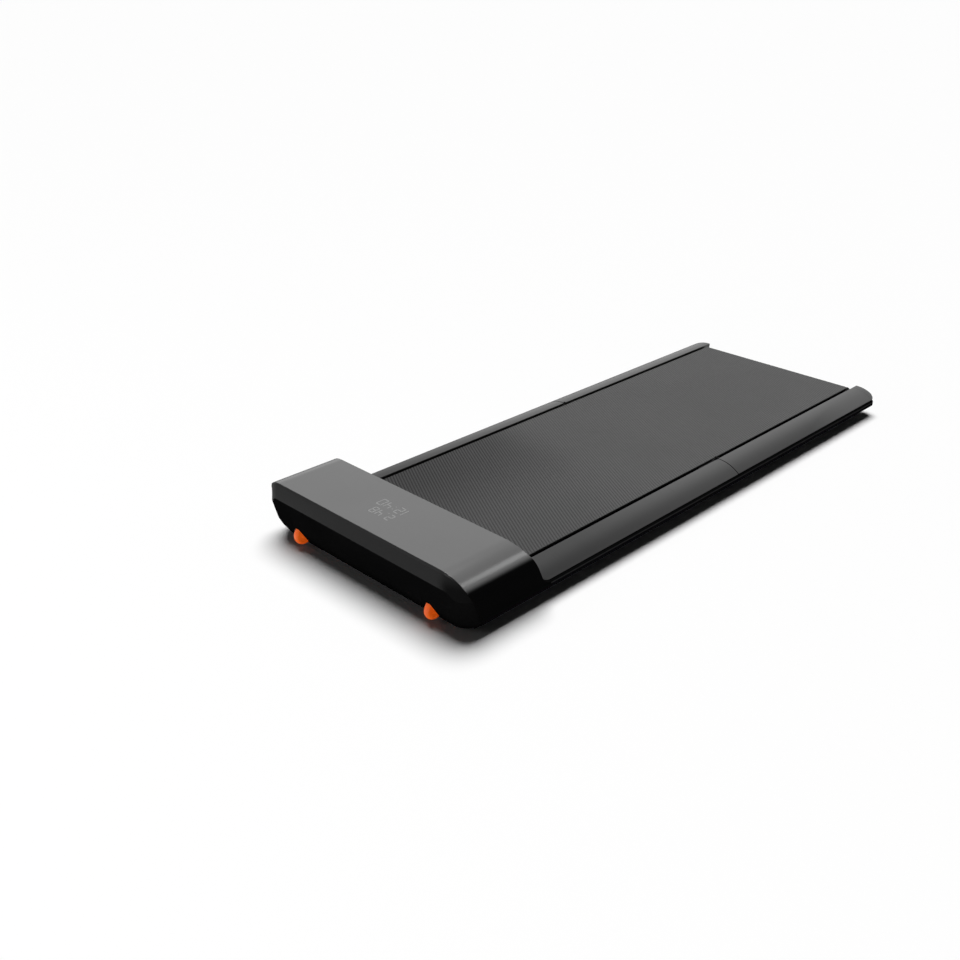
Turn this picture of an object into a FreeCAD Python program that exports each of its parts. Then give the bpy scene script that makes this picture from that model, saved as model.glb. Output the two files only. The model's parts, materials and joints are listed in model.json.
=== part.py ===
"""Folding walking pad, lying open on its feet.

Millimetres. +Z is up, -Y is the front with the motor head, +Y is the rear, and +X is the right-hand side
seen by someone who faces the motor head. The origin is on the floor, under the middle of the pad.
"""
import FreeCAD
import Part
import math
import os

# Overall size
OVERALL_LENGTH = 1432.0
OVERALL_WIDTH = 547.0
OVERALL_HEIGHT = 129.0
HALF_WIDTH = OVERALL_WIDTH / 2
FRONT_Y = -OVERALL_LENGTH / 2
REAR_Y = OVERALL_LENGTH / 2

# Fold line: one hinge axis across the pad, just above the tread
FOLD_Y = 106.0
FOLD_Z = 60.0
FOLD_GAP = 0.3
FRONT_END_Y = FOLD_Y - FOLD_GAP
REAR_START_Y = FOLD_Y + FOLD_GAP

# Belly pans
WALL = 2.5
UNDERSIDE_Z = 10.0
PAN_SKIN_TOP_Z = UNDERSIDE_Z + WALL
PAN_FLAT_HALF = 252.0
SIDE_LOW_Z = 28.0
SKIRT_LEAN_Z = 36.0
SKIRT_TOP_Z = 39.5
SKIRT_TOP_HALF = 270.5
PAN_END_RUN = 15.0
FOLD_LIP_Z = 17.0
FOLD_LIP_RUN = 9.0
FOLD_LIP_THICKNESS = 3.5
REAR_LIP_Z = 30.0
REAR_CORNER = 22.0
REAR_FLAT_CORNER = 14.0
RAIL_END_CORNER = 18.0
WINDOW_HALF = 165.0
WINDOW_NEAR = 111.0
WINDOW_FAR = 508.0
WINDOW_RADIUS = 45.0
WINDOW_RIM_Z = 17.0

# Motor head
HEAD_CORNER = 55.0
HEAD_TOP_FRONT_Y = -711.5
HEAD_TOP_REAR_Y = -561.0
HEAD_REAR_MID = (-539.0, 97.6)
HEAD_REAR_LOW = (-522.0, 60.6)
HEAD_FILLET = 25.0
HEAD_REAR_SHIFT = 3.0
HEAD_SIDE_FRONT_Y = -667.0
TREAD_WAY_Z = 61.0
FASCIA_REVEAL = 0.8
FASCIA_WALL = 2.8
BAND_TOP_Z = 126.0
BAND_LOW_Z = 95.0
BELLY_Y = -708.0
BELLY_Z = 46.0
FASCIA_FOOT_Y = -685.0
FASCIA_END_Y = -668.0
FASCIA_DEPTH = 100.0
FASCIA_HOLLOW_RUN = 40.0
NOSE_CORNER = 50.0
NOSE_BAND_CORNER = 47.0
NOSE_CREASE_CORNER = 39.0
NOSE_CREASE_Z = 80.0
NOSE_BELLY_CORNER = 50.0
NOSE_EDGE_CORNER = 44.0
NOSE_FOOT_CORNER = 30.0
LIP_GAP = 0.3
LIP_WALL = 4.0
LIP_RUN = 8.0
LIP_LOW_Z = 50.0

# Tread belt and rollers
BELT_HALF = 207.5
BELT_THICKNESS = 2.0
BELT_SLACK = 0.3
ROLLER_RADIUS = 17.0
ROLLER_BORE = 14.5
ROLLER_HALF = 210.0
ROLLER_Z = 39.0
FRONT_ROLLER_Y = -575.0
REAR_ROLLER_Y = 688.0
AXLE_RADIUS = 6.0
RUNNING_FIT = 0.05
LOOSE_FIT = 0.1
BEARING_SETBACK = 2.0
BEARING_WIDTH = 12.0
BELT_INNER = ROLLER_RADIUS + BELT_SLACK
BELT_OUTER = BELT_INNER + BELT_THICKNESS
BELT_UNDER_Z = ROLLER_Z + BELT_INNER

# Frame under the tread
WEB_INNER = 236.0
WEB_OUTER = 239.0
WEB_TOP_Z = 52.0
LEDGE_INNER = 190.0
LEDGE_LOW_Z = 40.0
LEDGE_TOP_Z = 42.5
FLANGE_OUTER = 250.0
FLANGE_TOP_Z = 15.0
BEAM_FRONT_Y = -600.0
BEAM_REAR_Y = 711.0
LEDGE_FRONT_Y = -520.0
LEDGE_REAR_Y = 655.0
FLANGE_FRONT_Y = -560.0
FLANGE_REAR_Y = 688.0
BEAM_FOLD_GAP = 14.0
LEDGE_FOLD_GAP = 4.0
BOARD_HALF = 208.0
BOARD_LOW_Z = 46.0
BOARD_FRONT_Y = -535.0
BOARD_REAR_Y = 664.0
BOARD_FOLD_GAP = 8.0
CROSS_BAR_LOW_Z = 26.0
CROSS_BAR_TOP_Z = 38.0
CROSS_BAR_WIDTH = 30.0
FRONT_CROSS_BARS_Y = (-470.0, 55.0)
REAR_CROSS_BARS_Y = (127.0, 615.0)
CUSHION_LENGTH = 60.0
CUSHION_INNER = 192.0
CUSHION_OUTER = 206.0
FRONT_CUSHIONS_Y = (-490.0, -260.0, 20.0)
REAR_CUSHIONS_Y = (130.0, 360.0, 580.0)

# Side rails
RAIL_INNER = 216.0
RAIL_OUTER = 269.5
RAIL_LOW_Z = 41.4
RAIL_TOP_Z = 59.4
RAIL_EDGE = 1.0
RAIL_CROWN = (243.0, 55.8)
RAIL_WALL = 2.5
RAIL_LEG_OUTER = 265.0
RAIL_LEG_LOW_Z = 35.0
RAIL_FOOT = 3.5
RAIL_CROWN_SHIFT = 1.0
RAIL_HEAD_GAP = 1.2
PAN_GAP = 0.3
END_CAP = 2.5
AXLE_NOTCH = 2.0

# Hinges in the slots beside the tread belt
EYE_RADIUS = 2.8
HINGE_PIN_RADIUS = 1.4
FRONT_LEAF_X = (209.0, 211.9)
REAR_LEAF_X = (212.3, 215.2)
HINGE_PIN_X = (208.7, 215.6)
LEAF_LENGTH = 62.0
LEAF_TOP_Z = 55.0
LEAF_NECK_RUN = 16.0
LEAF_LOW_GAP = 4.5
LEAF_EYE_GAP = 0.6

# Transport wheels
WHEEL_X = 181.0
WHEEL_Y = -693.0
WHEEL_Z = 30.0
WHEEL_RADIUS = 20.5
WHEEL_HALF = 6.0
WHEEL_PIN_RADIUS = 3.0
WHEEL_SHOULDER = 1.8
WHEEL_DISH = 1.5
WHEEL_RIM = 5.0
WHEEL_HUB = 4.0
HOUSING_HALF = 13.0
HOUSING_TOP_Z = 56.0
POCKET_HALF = 6.8
POCKET_RADIUS = 22.0
HOUSING_INSET = 0.4
HOUSING_GAP = 0.2
WHEEL_PIN_SETBACK = 1.0

# Drive
MOTOR_Y = -640.0
MOTOR_Z = 78.0
MOTOR_X = (-150.0, 0.0)
MOTOR_RADIUS = 36.0
MOTOR_BORE = 32.0
MOTOR_BELL = 8.0
MOTOR_BELL_RADIUS = 37.5
ROTOR_RADIUS = 24.0
SHAFT_RADIUS = 5.0
MOTOR_PULLEY_RADIUS = 9.0
ROLLER_PULLEY_RADIUS = 20.0
PULLEY_FLANGE = 2.0
PULLEY_X = (-228.0, -214.0)
PULLEY_FLANGE_RISE = 2.0
SHAFT_OVERHANG = 4.0
DRIVE_BELT_THICKNESS = 2.2
DRIVE_BELT_GAP = 0.5
BASE_PLATE_TOP_Z = 15.5
BASE_PLATE_Y = (-666.0, -530.0)
BRACKET_INSET = 20.0
BRACKET_RIB = 6.0
BRACKET_PLATE = 3.0
BRACKET_Y = (-663.0, -607.0)
BRACKET_TOP_Z = 63.0
ROTOR_END_GAP = 25.0

# Motor controller
CIRCUIT_THICKNESS = 1.6
CONTROL_X = (30.0, 200.0)
CONTROL_Y = (-655.0, -600.0)
CONTROL_LOW_Z = 30.0
CONTROL_TOP_Z = CONTROL_LOW_Z + CIRCUIT_THICKNESS
POST_RADIUS = 3.5
POST_INSET = 6.0
CAPACITORS_X = (48.0, 74.0)
CAPACITOR_Y = -628.0
CAPACITOR_RADIUS = 11.0
CAPACITOR_HEIGHT = 38.0
TERMINAL_X = (36.0, 84.0)
TERMINAL_Y = (-613.0, -603.0)
TERMINAL_HEIGHT = 12.0
HEAT_SINK_X = (104.0, 190.0)
HEAT_SINK_Y = (-650.0, -606.0)
HEAT_SINK_BASE = 5.0
HEAT_SINK_HEIGHT = 32.0
FIN_COUNT = 8
FIN_THICKNESS = 2.5

# Display under the top of the head
DIFFUSER_X = (-50.0, 50.0)
DIFFUSER_Y = (-676.0, -604.0)
DIFFUSER_THICKNESS = 2.5
DIFFUSER_CORNER = 4.0
DISPLAY_BOARD_X = (-56.0, 56.0)
DISPLAY_BOARD_Y = (-680.0, -600.0)
LIGHT_BLOCKS_X = (-30.0, 0.0, 30.0)
LIGHT_BLOCK_HALF = 11.0
LIGHT_BLOCK_Y = (-670.0, -610.0)
LIGHT_BLOCK_HEIGHT = 3.0

# Power entry in the left-hand wall of the head
ENTRY_FACE_X = -272.5
INLET_Y = -640.0
INLET_Z = 50.0
INLET_SIZE = (30.6, 23.6)
SOCKET_SIZE = (24.6, 17.0)
SOCKET_DEPTH = 18.0
INLET_BACK_X = -242.0
BLADE_SIZE = (2.0, 5.0)
BLADE_PLACES = ((-7.0, -1.5), (0.0, 3.0), (7.0, -1.5))
BLADE_SETBACK = 7.0
SWITCH_Y = -590.0
SWITCH_Z = 50.0
SWITCH_SIZE = (25.0, 18.0)
SWITCH_BACK_X = -249.0
SWITCH_CAVITY_X = -256.0
SWITCH_CAVITY_SIZE = (21.2, 12.8)
ROCKER_HALF = 9.5
ROCKER_HALF_HEIGHT = 6.0
ROCKER_REST_TILT = 10.0
ROCKER_PIVOT_X = ENTRY_FACE_X + 5.5
ROCKER_PIVOT_RADIUS = 1.5
ROCKER_PIVOT_HALF = 7.5
ROCKER_HUB_RADIUS = 4.5
ROCKER_FACE_X = ROCKER_PIVOT_X - 3.0
ROCKER_EDGE_X = ROCKER_PIVOT_X - 4.4
ROCKER_BACK_X = ROCKER_PIVOT_X + 1.0

# Belt tension bolts
TENSION_X = 227.0
TENSION_RADIUS = 4.0
TENSION_FIT = 0.08
TENSION_HEAD_RADIUS = 6.5
TENSION_HEAD_LENGTH = 6.0
TENSION_HEAD_GAP = 0.3
TENSION_SOCKET_RADIUS = 3.5
TENSION_SOCKET_DEPTH = 3.5
TENSION_ACCESS_RADIUS = 8.0
TENSION_PLATE_INNER = 220.0
TENSION_PLATE_Y = (703.0, 707.0)
TENSION_TIP = 14.0
AXLE_SLOT_TRAVEL = 6.0

# Feet
FOOT_X = 210.0
BAR_FOOT_SIZE = (38.0, 14.0)
ROUND_FOOT_RADIUS = 15.0
FRONT_BAR_FOOT_Y = 40.0
REAR_BAR_FOOT_Y = 172.0
FRONT_ROUND_FOOT_Y = -610.0
REAR_ROUND_FOOT_Y = 679.0
FOOT_TAPER = 1.5
BAR_FOOT_EDGE = 1.5
ROUND_FOOT_EDGE = 1.2

# Screws through the pans into the beams
SCREW_X = 244.5
SCREW_RADIUS = 2.0
SCREW_HEAD_RADIUS = 4.5
SCREW_HEAD_Z = 8.4
FRONT_SCREWS_Y = (-460.0, -280.0, -100.0, 60.0)
REAR_SCREWS_Y = (150.0, 330.0, 510.0, 650.0)

# How far a cutting shape runs past the faces that it cuts
PAST = 1.0
FAR_PAST = 20.0

Vector = FreeCAD.Vector


# Basic shapes

def box(x, y, z):
    """A block between two limits on each axis."""
    corner = Vector(x[0], y[0], z[0])
    return Part.makeBox(x[1] - x[0], y[1] - y[0], z[1] - z[0], corner)


def rod_x(x, y, z, radius):
    """A round bar along X."""
    return Part.makeCylinder(radius, x[1] - x[0], Vector(x[0], y, z), Vector(1, 0, 0))


def rod_y(x, y, z, radius):
    """A round bar along Y."""
    return Part.makeCylinder(radius, y[1] - y[0], Vector(x, y[0], z), Vector(0, 1, 0))


def rod_z(x, y, z, radius):
    """A round bar along Z."""
    return Part.makeCylinder(radius, z[1] - z[0], Vector(x, y, z[0]), Vector(0, 0, 1))


def outline_face(steps, place):
    """A flat face round a closed outline. A step is a point, or an arc given as (middle, end)."""
    edges = []
    here = steps[0]
    for step in list(steps[1:]) + [steps[0]]:
        if isinstance(step[0], tuple):
            middle, end = step
            edges.append(Part.Arc(place(*here), place(*middle), place(*end)).toShape())
        else:
            end = step
            if end != here:
                edges.append(Part.makeLine(place(*here), place(*end)))
        here = end
    return Part.Face(Part.Wire(edges))


def along_x(steps, x):
    """A (y, z) outline pushed along X."""
    face = outline_face(steps, lambda y, z: Vector(x[0], y, z))
    return face.extrude(Vector(x[1] - x[0], 0, 0))


def along_y(steps, y):
    """An (x, z) outline pushed along Y."""
    face = outline_face(steps, lambda x, z: Vector(x, y[0], z))
    return face.extrude(Vector(0, y[1] - y[0], 0))


def along_z(steps, z):
    """An (x, y) outline pushed along Z."""
    face = outline_face(steps, lambda x, y: Vector(x, y, z[0]))
    return face.extrude(Vector(0, 0, z[1] - z[0]))


def rounded_block(x, y, z, radius):
    """A block whose upright edges are rounded."""
    block = box(x, y, z)
    upright = [edge for edge in block.Edges if abs(edge.tangentAt(edge.FirstParameter).z) > 0.9]
    return block.makeFillet(radius, upright)


def fuse(shapes):
    """Several touching shapes as one solid."""
    joined = shapes[0].multiFuse(shapes[1:]) if len(shapes) > 1 else shapes[0]
    return joined.removeSplitter()


def left_of(shape):
    """The left-hand twin of a right-hand piece."""
    return shape.mirror(Vector(0, 0, 0), Vector(1, 0, 0))


def save(name, shape):
    """Write one node."""
    solids = shape.Solids
    if not solids or not shape.isValid():
        raise ValueError(name + " is not a sound solid")
    kept = solids[0] if len(solids) == 1 else Part.makeCompound(solids)
    kept.exportStep("parts/" + name + ".step")
    print(name, len(solids), round(kept.Volume / 1000.0, 2), "cm3")


def save_pair(name, right_shape):
    """Write a right-hand node and its left-hand twin."""
    save(name + "_right", right_shape)
    save(name + "_left", left_of(right_shape))


def save_twins(name, right_shape):
    """Write a right-hand piece and its twin as one node of separate solids."""
    save(name, Part.makeCompound([right_shape, left_of(right_shape)]))


# Outlines that several pieces share

def mirrored_outline(right_steps):
    """Close an (x, z) outline, given from its lowest right-hand point up to the top, over the middle."""
    left_steps = []
    for index in range(len(right_steps) - 1, -1, -1):
        step = right_steps[index]
        if isinstance(step[0], tuple):
            middle, end = step
            if not left_steps:
                left_steps.append((-end[0], end[1]))
            before = right_steps[index - 1]
            start = before[1] if isinstance(before[0], tuple) else before
            left_steps.append(((-middle[0], middle[1]), (-start[0], start[1])))
        elif index == len(right_steps) - 1 or not isinstance(right_steps[index + 1][0], tuple):
            left_steps.append((-step[0], step[1]))
    return list(right_steps) + left_steps


def edge_points(wall):
    """The lower right-hand edge of the pad, set in by a wall: flat, chamfer and start of the side."""
    slope = math.atan2(SIDE_LOW_Z - UNDERSIDE_Z, HALF_WIDTH - PAN_FLAT_HALF)
    flat = (PAN_FLAT_HALF - wall * math.tan(slope / 2), UNDERSIDE_Z + wall)
    side = (HALF_WIDTH - wall, SIDE_LOW_Z + wall * math.tan((math.pi / 2 - slope) / 2))
    return [flat, side]


def pan_outline(wall, top):
    """The section of a belly pan, set in by a wall."""
    side = [(HALF_WIDTH - wall, SKIRT_LEAN_Z), (SKIRT_TOP_HALF - wall, SKIRT_TOP_Z)]
    if top > SKIRT_TOP_Z:
        side.append((SKIRT_TOP_HALF - wall, top))
    return mirrored_outline(edge_points(wall) + side)


def stacked(levels, plan):
    """A solid through level outlines, joined by straight sides. A level is (half, end, radius, z)."""
    wires = []
    for half, end_y, radius, z in levels:
        face = outline_face(plan(half, end_y, radius), lambda x, y: Vector(x, y, z))
        wires.append(face.OuterWire)
    return Part.makeLoft(wires, True, True)


def rear_plan(half, end_y, radius):
    """The rear half seen from above, with rounded rear corners, as steps of an (x, y) outline."""
    turn = radius * (1 - math.sqrt(0.5))
    return [
        (half, REAR_START_Y - PAST),
        (half, end_y - radius),
        ((half - turn, end_y - turn), (half - radius, end_y)),
        (radius - half, end_y),
        ((turn - half, end_y - turn), (-half, end_y - radius)),
        (-half, REAR_START_Y - PAST),
    ]


def rear_tray(wall, top):
    """The rear pan filled solid, set in by a wall: level outlines joined by straight sides."""
    flat, side = edge_points(wall)
    slope = math.atan2(SIDE_LOW_Z - UNDERSIDE_Z, PAN_END_RUN)
    bevel_end = REAR_Y - PAN_END_RUN - wall * math.tan(slope / 2)
    levels = [
        (flat[0], bevel_end, REAR_FLAT_CORNER, flat[1]),
        (side[0], REAR_Y - wall, REAR_CORNER - wall, side[1]),
        (side[0], REAR_Y - wall, REAR_CORNER - wall, SKIRT_LEAN_Z),
        (SKIRT_TOP_HALF - wall, REAR_Y - wall, REAR_CORNER - wall, SKIRT_TOP_Z),
    ]
    if top > SKIRT_TOP_Z:
        levels.append(levels[-1][:3] + (top,))
    return stacked(levels, rear_plan)


def nose_plan(half, front_y, radius):
    """The head seen from above, with rounded front corners, as steps of an (x, y) outline."""
    turn = radius * (1 - math.sqrt(0.5))
    return [
        (-half, 0),
        (-half, front_y + radius),
        ((turn - half, front_y + turn), (radius - half, front_y)),
        (half - radius, front_y),
        ((half - turn, front_y + turn), (half, front_y + radius)),
        (half, 0),
    ]


def nose_form(wall):
    """The nose filled solid, set in by a wall: foot, edge, belly, crease at the corners and upright band."""
    share = (SIDE_LOW_Z - UNDERSIDE_Z) / (BELLY_Z - UNDERSIDE_Z)
    edge_y = FASCIA_FOOT_Y + share * (BELLY_Y - FASCIA_FOOT_Y)
    crease_share = (NOSE_CREASE_Z - BELLY_Z) / (BAND_LOW_Z - BELLY_Z)
    crease_y = BELLY_Y + crease_share * (FRONT_Y - BELLY_Y)
    outer = [
        (PAN_FLAT_HALF, FASCIA_FOOT_Y, NOSE_FOOT_CORNER, UNDERSIDE_Z),
        (HALF_WIDTH, edge_y, NOSE_EDGE_CORNER, SIDE_LOW_Z),
        (HALF_WIDTH, BELLY_Y, NOSE_BELLY_CORNER, BELLY_Z),
        (HALF_WIDTH, crease_y, NOSE_CREASE_CORNER, NOSE_CREASE_Z),
        (HALF_WIDTH, FRONT_Y, NOSE_BAND_CORNER, BAND_LOW_Z),
        (HALF_WIDTH, FRONT_Y, NOSE_CORNER, OVERALL_HEIGHT),
    ]
    levels = [(half - wall, front_y + wall, radius - wall, z) for half, front_y, radius, z in outer]
    return stacked(levels, nose_plan)


def head_outline(inset):
    """The section of the motor head, set in all round: an arch with rounded shoulders."""
    top = OVERALL_HEIGHT - inset
    side = HALF_WIDTH - inset
    radius = HEAD_CORNER - inset
    low = top - radius
    inner = side - radius
    half_turn = radius * math.sqrt(0.5)
    shoulder = ((inner + half_turn, low + half_turn), (inner, top))
    return mirrored_outline(edge_points(inset) + [(side, low), shoulder])


def fillet_under_rail(radius):
    """Where the head's rear slope turns into the lower edge of the rail: start, middle and end."""
    run = (HEAD_REAR_LOW[0] - HEAD_REAR_MID[0], HEAD_REAR_LOW[1] - HEAD_REAR_MID[1])
    length = math.hypot(run[0], run[1])
    normal = (-run[1] / length, run[0] / length)
    centre_z = RAIL_LOW_Z - RAIL_HEAD_GAP + HEAD_FILLET
    rise = (centre_z - HEAD_REAR_LOW[1]) * normal[1]
    centre_y = HEAD_REAR_LOW[0] + (HEAD_FILLET - rise) / normal[0]
    start_angle = math.atan2(-normal[1], -normal[0]) % (2 * math.pi)
    end_angle = 1.5 * math.pi
    middle_angle = (start_angle + end_angle) / 2

    def point(angle):
        return (centre_y + radius * math.cos(angle), centre_z + radius * math.sin(angle))

    return point(start_angle), point(middle_angle), point(end_angle)


# Motor head

def head_cover():
    """The arched cover over the motor: top, shoulders, sides and a sloping rear wall."""
    start, middle, end = fillet_under_rail(HEAD_FILLET)
    side_view = [
        (HEAD_SIDE_FRONT_Y, SIDE_LOW_Z),
        (HEAD_TOP_FRONT_Y, OVERALL_HEIGHT),
        (HEAD_TOP_REAR_Y, OVERALL_HEIGHT),
        HEAD_REAR_MID,
        HEAD_REAR_LOW,
        start,
        (middle, end),
        (end[0], SIDE_LOW_Z),
    ]
    across = (-HALF_WIDTH - PAST, HALF_WIDTH + PAST)
    rear = end[0] + FAR_PAST
    cover = along_y(head_outline(0), (FRONT_Y, rear)).common(along_x(side_view, across))
    low_start, low_middle, low_end = fillet_under_rail(HEAD_FILLET + WALL)
    hollow_view = [
        (FRONT_Y - FAR_PAST, 0),
        (FRONT_Y - FAR_PAST, OVERALL_HEIGHT),
        (HEAD_TOP_REAR_Y - HEAD_REAR_SHIFT, OVERALL_HEIGHT),
        (HEAD_REAR_MID[0] - HEAD_REAR_SHIFT, HEAD_REAR_MID[1]),
        low_start,
        (low_middle, low_end),
        (rear, low_end[1]),
        (rear, 0),
    ]
    hollow = along_y(head_outline(WALL), (FRONT_Y - FAR_PAST, rear))
    cover = cover.cut(hollow.common(along_x(hollow_view, across)))
    tread_half = FLANGE_OUTER + PAST
    cover = cover.cut(box((-tread_half, tread_half), (BEAM_FRONT_Y - FAR_PAST, rear), (0, TREAD_WAY_Z)))
    wall_x = (-HALF_WIDTH - PAST, -HALF_WIDTH + 2 * WALL)
    cover = cover.cut(entry_block(wall_x, INLET_Y, INLET_Z, INLET_SIZE, LOOSE_FIT))
    return cover.cut(entry_block(wall_x, SWITCH_Y, SWITCH_Z, SWITCH_SIZE, LOOSE_FIT))


def fascia_block(wall, rear_run):
    """The nose of the head, set in by a wall and lengthened to the rear."""
    ease_y = FRONT_Y - HEAD_TOP_FRONT_Y
    ease_z = BAND_TOP_Z - OVERALL_HEIGHT
    side_view = [
        (HEAD_TOP_FRONT_Y + rear_run, OVERALL_HEIGHT),
        (HEAD_TOP_FRONT_Y, OVERALL_HEIGHT),
        (FRONT_Y + ease_y, BAND_TOP_Z + ease_z),
        (FRONT_Y + ease_y, UNDERSIDE_Z + wall),
        (FASCIA_END_Y + rear_run, UNDERSIDE_Z + wall),
        (HEAD_SIDE_FRONT_Y + rear_run, SIDE_LOW_Z),
    ]
    block = along_y(head_outline(FASCIA_REVEAL + wall), (FRONT_Y - PAST, FRONT_Y + FASCIA_DEPTH))
    block = block.common(along_x(side_view, (-HALF_WIDTH, HALF_WIDTH)))
    return block.common(nose_form(wall))


def fascia_lip():
    """The lip behind the nose that reaches into the cover and closes the joint."""
    def edge_y(z):
        share = (z - SIDE_LOW_Z) / (OVERALL_HEIGHT - SIDE_LOW_Z)
        return HEAD_SIDE_FRONT_Y + share * (HEAD_TOP_FRONT_Y - HEAD_SIDE_FRONT_Y)

    y = (FRONT_Y, FRONT_Y + FASCIA_DEPTH)
    ring = along_y(head_outline(WALL + LIP_GAP), y).cut(along_y(head_outline(WALL + LIP_GAP + LIP_WALL), y))
    side_view = [
        (edge_y(LIP_LOW_Z), LIP_LOW_Z),
        (HEAD_TOP_FRONT_Y, OVERALL_HEIGHT),
        (HEAD_TOP_FRONT_Y + LIP_RUN, OVERALL_HEIGHT),
        (edge_y(LIP_LOW_Z) + LIP_RUN, LIP_LOW_Z),
    ]
    return ring.common(along_x(side_view, (-HALF_WIDTH, HALF_WIDTH)))


def front_fascia():
    """The nose shell with the upright band, the belly under it and the two wheel openings."""
    shell = fascia_block(0, 0).cut(fascia_block(FASCIA_WALL, FASCIA_HOLLOW_RUN))
    shell = fuse([shell, fascia_lip()])
    half = HOUSING_HALF + HOUSING_GAP
    y = (FRONT_Y - PAST, HEAD_SIDE_FRONT_Y + PAST)
    for centre_x in (-WHEEL_X, WHEEL_X):
        shell = shell.cut(box((centre_x - half, centre_x + half), y, (0, HOUSING_TOP_Z + HOUSING_GAP)))
    return shell


def wheel_housing():
    """The right-hand wheel housing, flush with the nose, with its pocket and pin hole."""
    def front_at(z):
        if z >= BELLY_Z:
            share = (z - BELLY_Z) / (BAND_LOW_Z - BELLY_Z)
            return BELLY_Y + share * (FRONT_Y - BELLY_Y) + HOUSING_INSET
        share = (z - UNDERSIDE_Z) / (BELLY_Z - UNDERSIDE_Z)
        return FASCIA_FOOT_Y + share * (BELLY_Y - FASCIA_FOOT_Y) + HOUSING_INSET

    side_view = [
        (front_at(UNDERSIDE_Z), UNDERSIDE_Z),
        (front_at(BELLY_Z), BELLY_Z),
        (front_at(HOUSING_TOP_Z), HOUSING_TOP_Z),
        (FASCIA_END_Y, HOUSING_TOP_Z),
        (FASCIA_END_Y, UNDERSIDE_Z),
    ]
    housing = along_x(side_view, (WHEEL_X - HOUSING_HALF, WHEEL_X + HOUSING_HALF))
    pocket_x = (WHEEL_X - POCKET_HALF, WHEEL_X + POCKET_HALF)
    housing = housing.cut(rod_x(pocket_x, WHEEL_Y, WHEEL_Z, POCKET_RADIUS))
    pin_x = (WHEEL_X - HOUSING_HALF, WHEEL_X + HOUSING_HALF)
    return housing.cut(rod_x(pin_x, WHEEL_Y, WHEEL_Z, WHEEL_PIN_RADIUS + LOOSE_FIT))


def wheel():
    """The right-hand transport wheel: a moulded disc with rounded shoulders and dished faces."""
    x = (WHEEL_X - WHEEL_HALF, WHEEL_X + WHEEL_HALF)
    disc = rod_x(x, WHEEL_Y, WHEEL_Z, WHEEL_RADIUS)
    disc = disc.makeFillet(WHEEL_SHOULDER, [edge for edge in disc.Edges if len(edge.Vertexes) == 1])
    for face_x in ((x[0], x[0] + WHEEL_DISH), (x[1] - WHEEL_DISH, x[1])):
        ring = rod_x(face_x, WHEEL_Y, WHEEL_Z, WHEEL_RADIUS - WHEEL_RIM)
        disc = disc.cut(ring.cut(rod_x(face_x, WHEEL_Y, WHEEL_Z, WHEEL_PIN_RADIUS + WHEEL_HUB)))
    return disc.cut(rod_x(x, WHEEL_Y, WHEEL_Z, WHEEL_PIN_RADIUS + RUNNING_FIT))


def wheel_pin():
    """The right-hand wheel's pin."""
    half = HOUSING_HALF - WHEEL_PIN_SETBACK
    return rod_x((WHEEL_X - half, WHEEL_X + half), WHEEL_Y, WHEEL_Z, WHEEL_PIN_RADIUS)


def base_plate():
    """The steel plate in the head that carries the motor and the control board."""
    return box((-WEB_INNER, WEB_INNER), BASE_PLATE_Y, (PAN_SKIN_TOP_Z, BASE_PLATE_TOP_Z))


def motor_housing():
    """The motor's can with a bell at each end and a hole for its shaft."""
    can = rod_x(MOTOR_X, MOTOR_Y, MOTOR_Z, MOTOR_RADIUS)
    left_bell = rod_x((MOTOR_X[0], MOTOR_X[0] + MOTOR_BELL), MOTOR_Y, MOTOR_Z, MOTOR_BELL_RADIUS)
    right_bell = rod_x((MOTOR_X[1] - MOTOR_BELL, MOTOR_X[1]), MOTOR_Y, MOTOR_Z, MOTOR_BELL_RADIUS)
    bore_x = (MOTOR_X[0] + MOTOR_BELL, MOTOR_X[1] - MOTOR_BELL)
    body = fuse([can, left_bell, right_bell]).cut(rod_x(bore_x, MOTOR_Y, MOTOR_Z, MOTOR_BORE))
    shaft_x = (MOTOR_X[0] - PAST, MOTOR_X[1] - MOTOR_BELL / 2)
    return body.cut(rod_x(shaft_x, MOTOR_Y, MOTOR_Z, SHAFT_RADIUS + RUNNING_FIT))


def motor_bracket():
    """The saddle that the motor lies in."""
    x = (MOTOR_X[0] + BRACKET_INSET, MOTOR_X[1] - BRACKET_INSET)
    plate_top = BASE_PLATE_TOP_Z + BRACKET_PLATE
    cradle = [box(x, BRACKET_Y, (BASE_PLATE_TOP_Z, plate_top))]
    for rib_x in (x[0], x[1] - BRACKET_RIB):
        cradle.append(box((rib_x, rib_x + BRACKET_RIB), BRACKET_Y, (plate_top, BRACKET_TOP_Z)))
    return fuse(cradle).cut(rod_x(x, MOTOR_Y, MOTOR_Z, MOTOR_RADIUS + LOOSE_FIT))


def motor_rotor():
    """The rotor core on its shaft."""
    shaft_x = (PULLEY_X[0] - SHAFT_OVERHANG, MOTOR_X[1] - MOTOR_BELL)
    shaft = rod_x(shaft_x, MOTOR_Y, MOTOR_Z, SHAFT_RADIUS)
    core_x = (MOTOR_X[0] + ROTOR_END_GAP, MOTOR_X[1] - ROTOR_END_GAP)
    core = rod_x(core_x, MOTOR_Y, MOTOR_Z, ROTOR_RADIUS)
    return fuse([shaft, core])


def pulley(y, z, radius, bore):
    """A flanged pulley on the left-hand side of the head."""
    groove = rod_x(PULLEY_X, y, z, radius)
    flanges = []
    for x in ((PULLEY_X[0], PULLEY_X[0] + PULLEY_FLANGE), (PULLEY_X[1] - PULLEY_FLANGE, PULLEY_X[1])):
        flanges.append(rod_x(x, y, z, radius + PULLEY_FLANGE_RISE))
    return fuse([groove] + flanges).cut(rod_x(PULLEY_X, y, z, bore))


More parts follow.
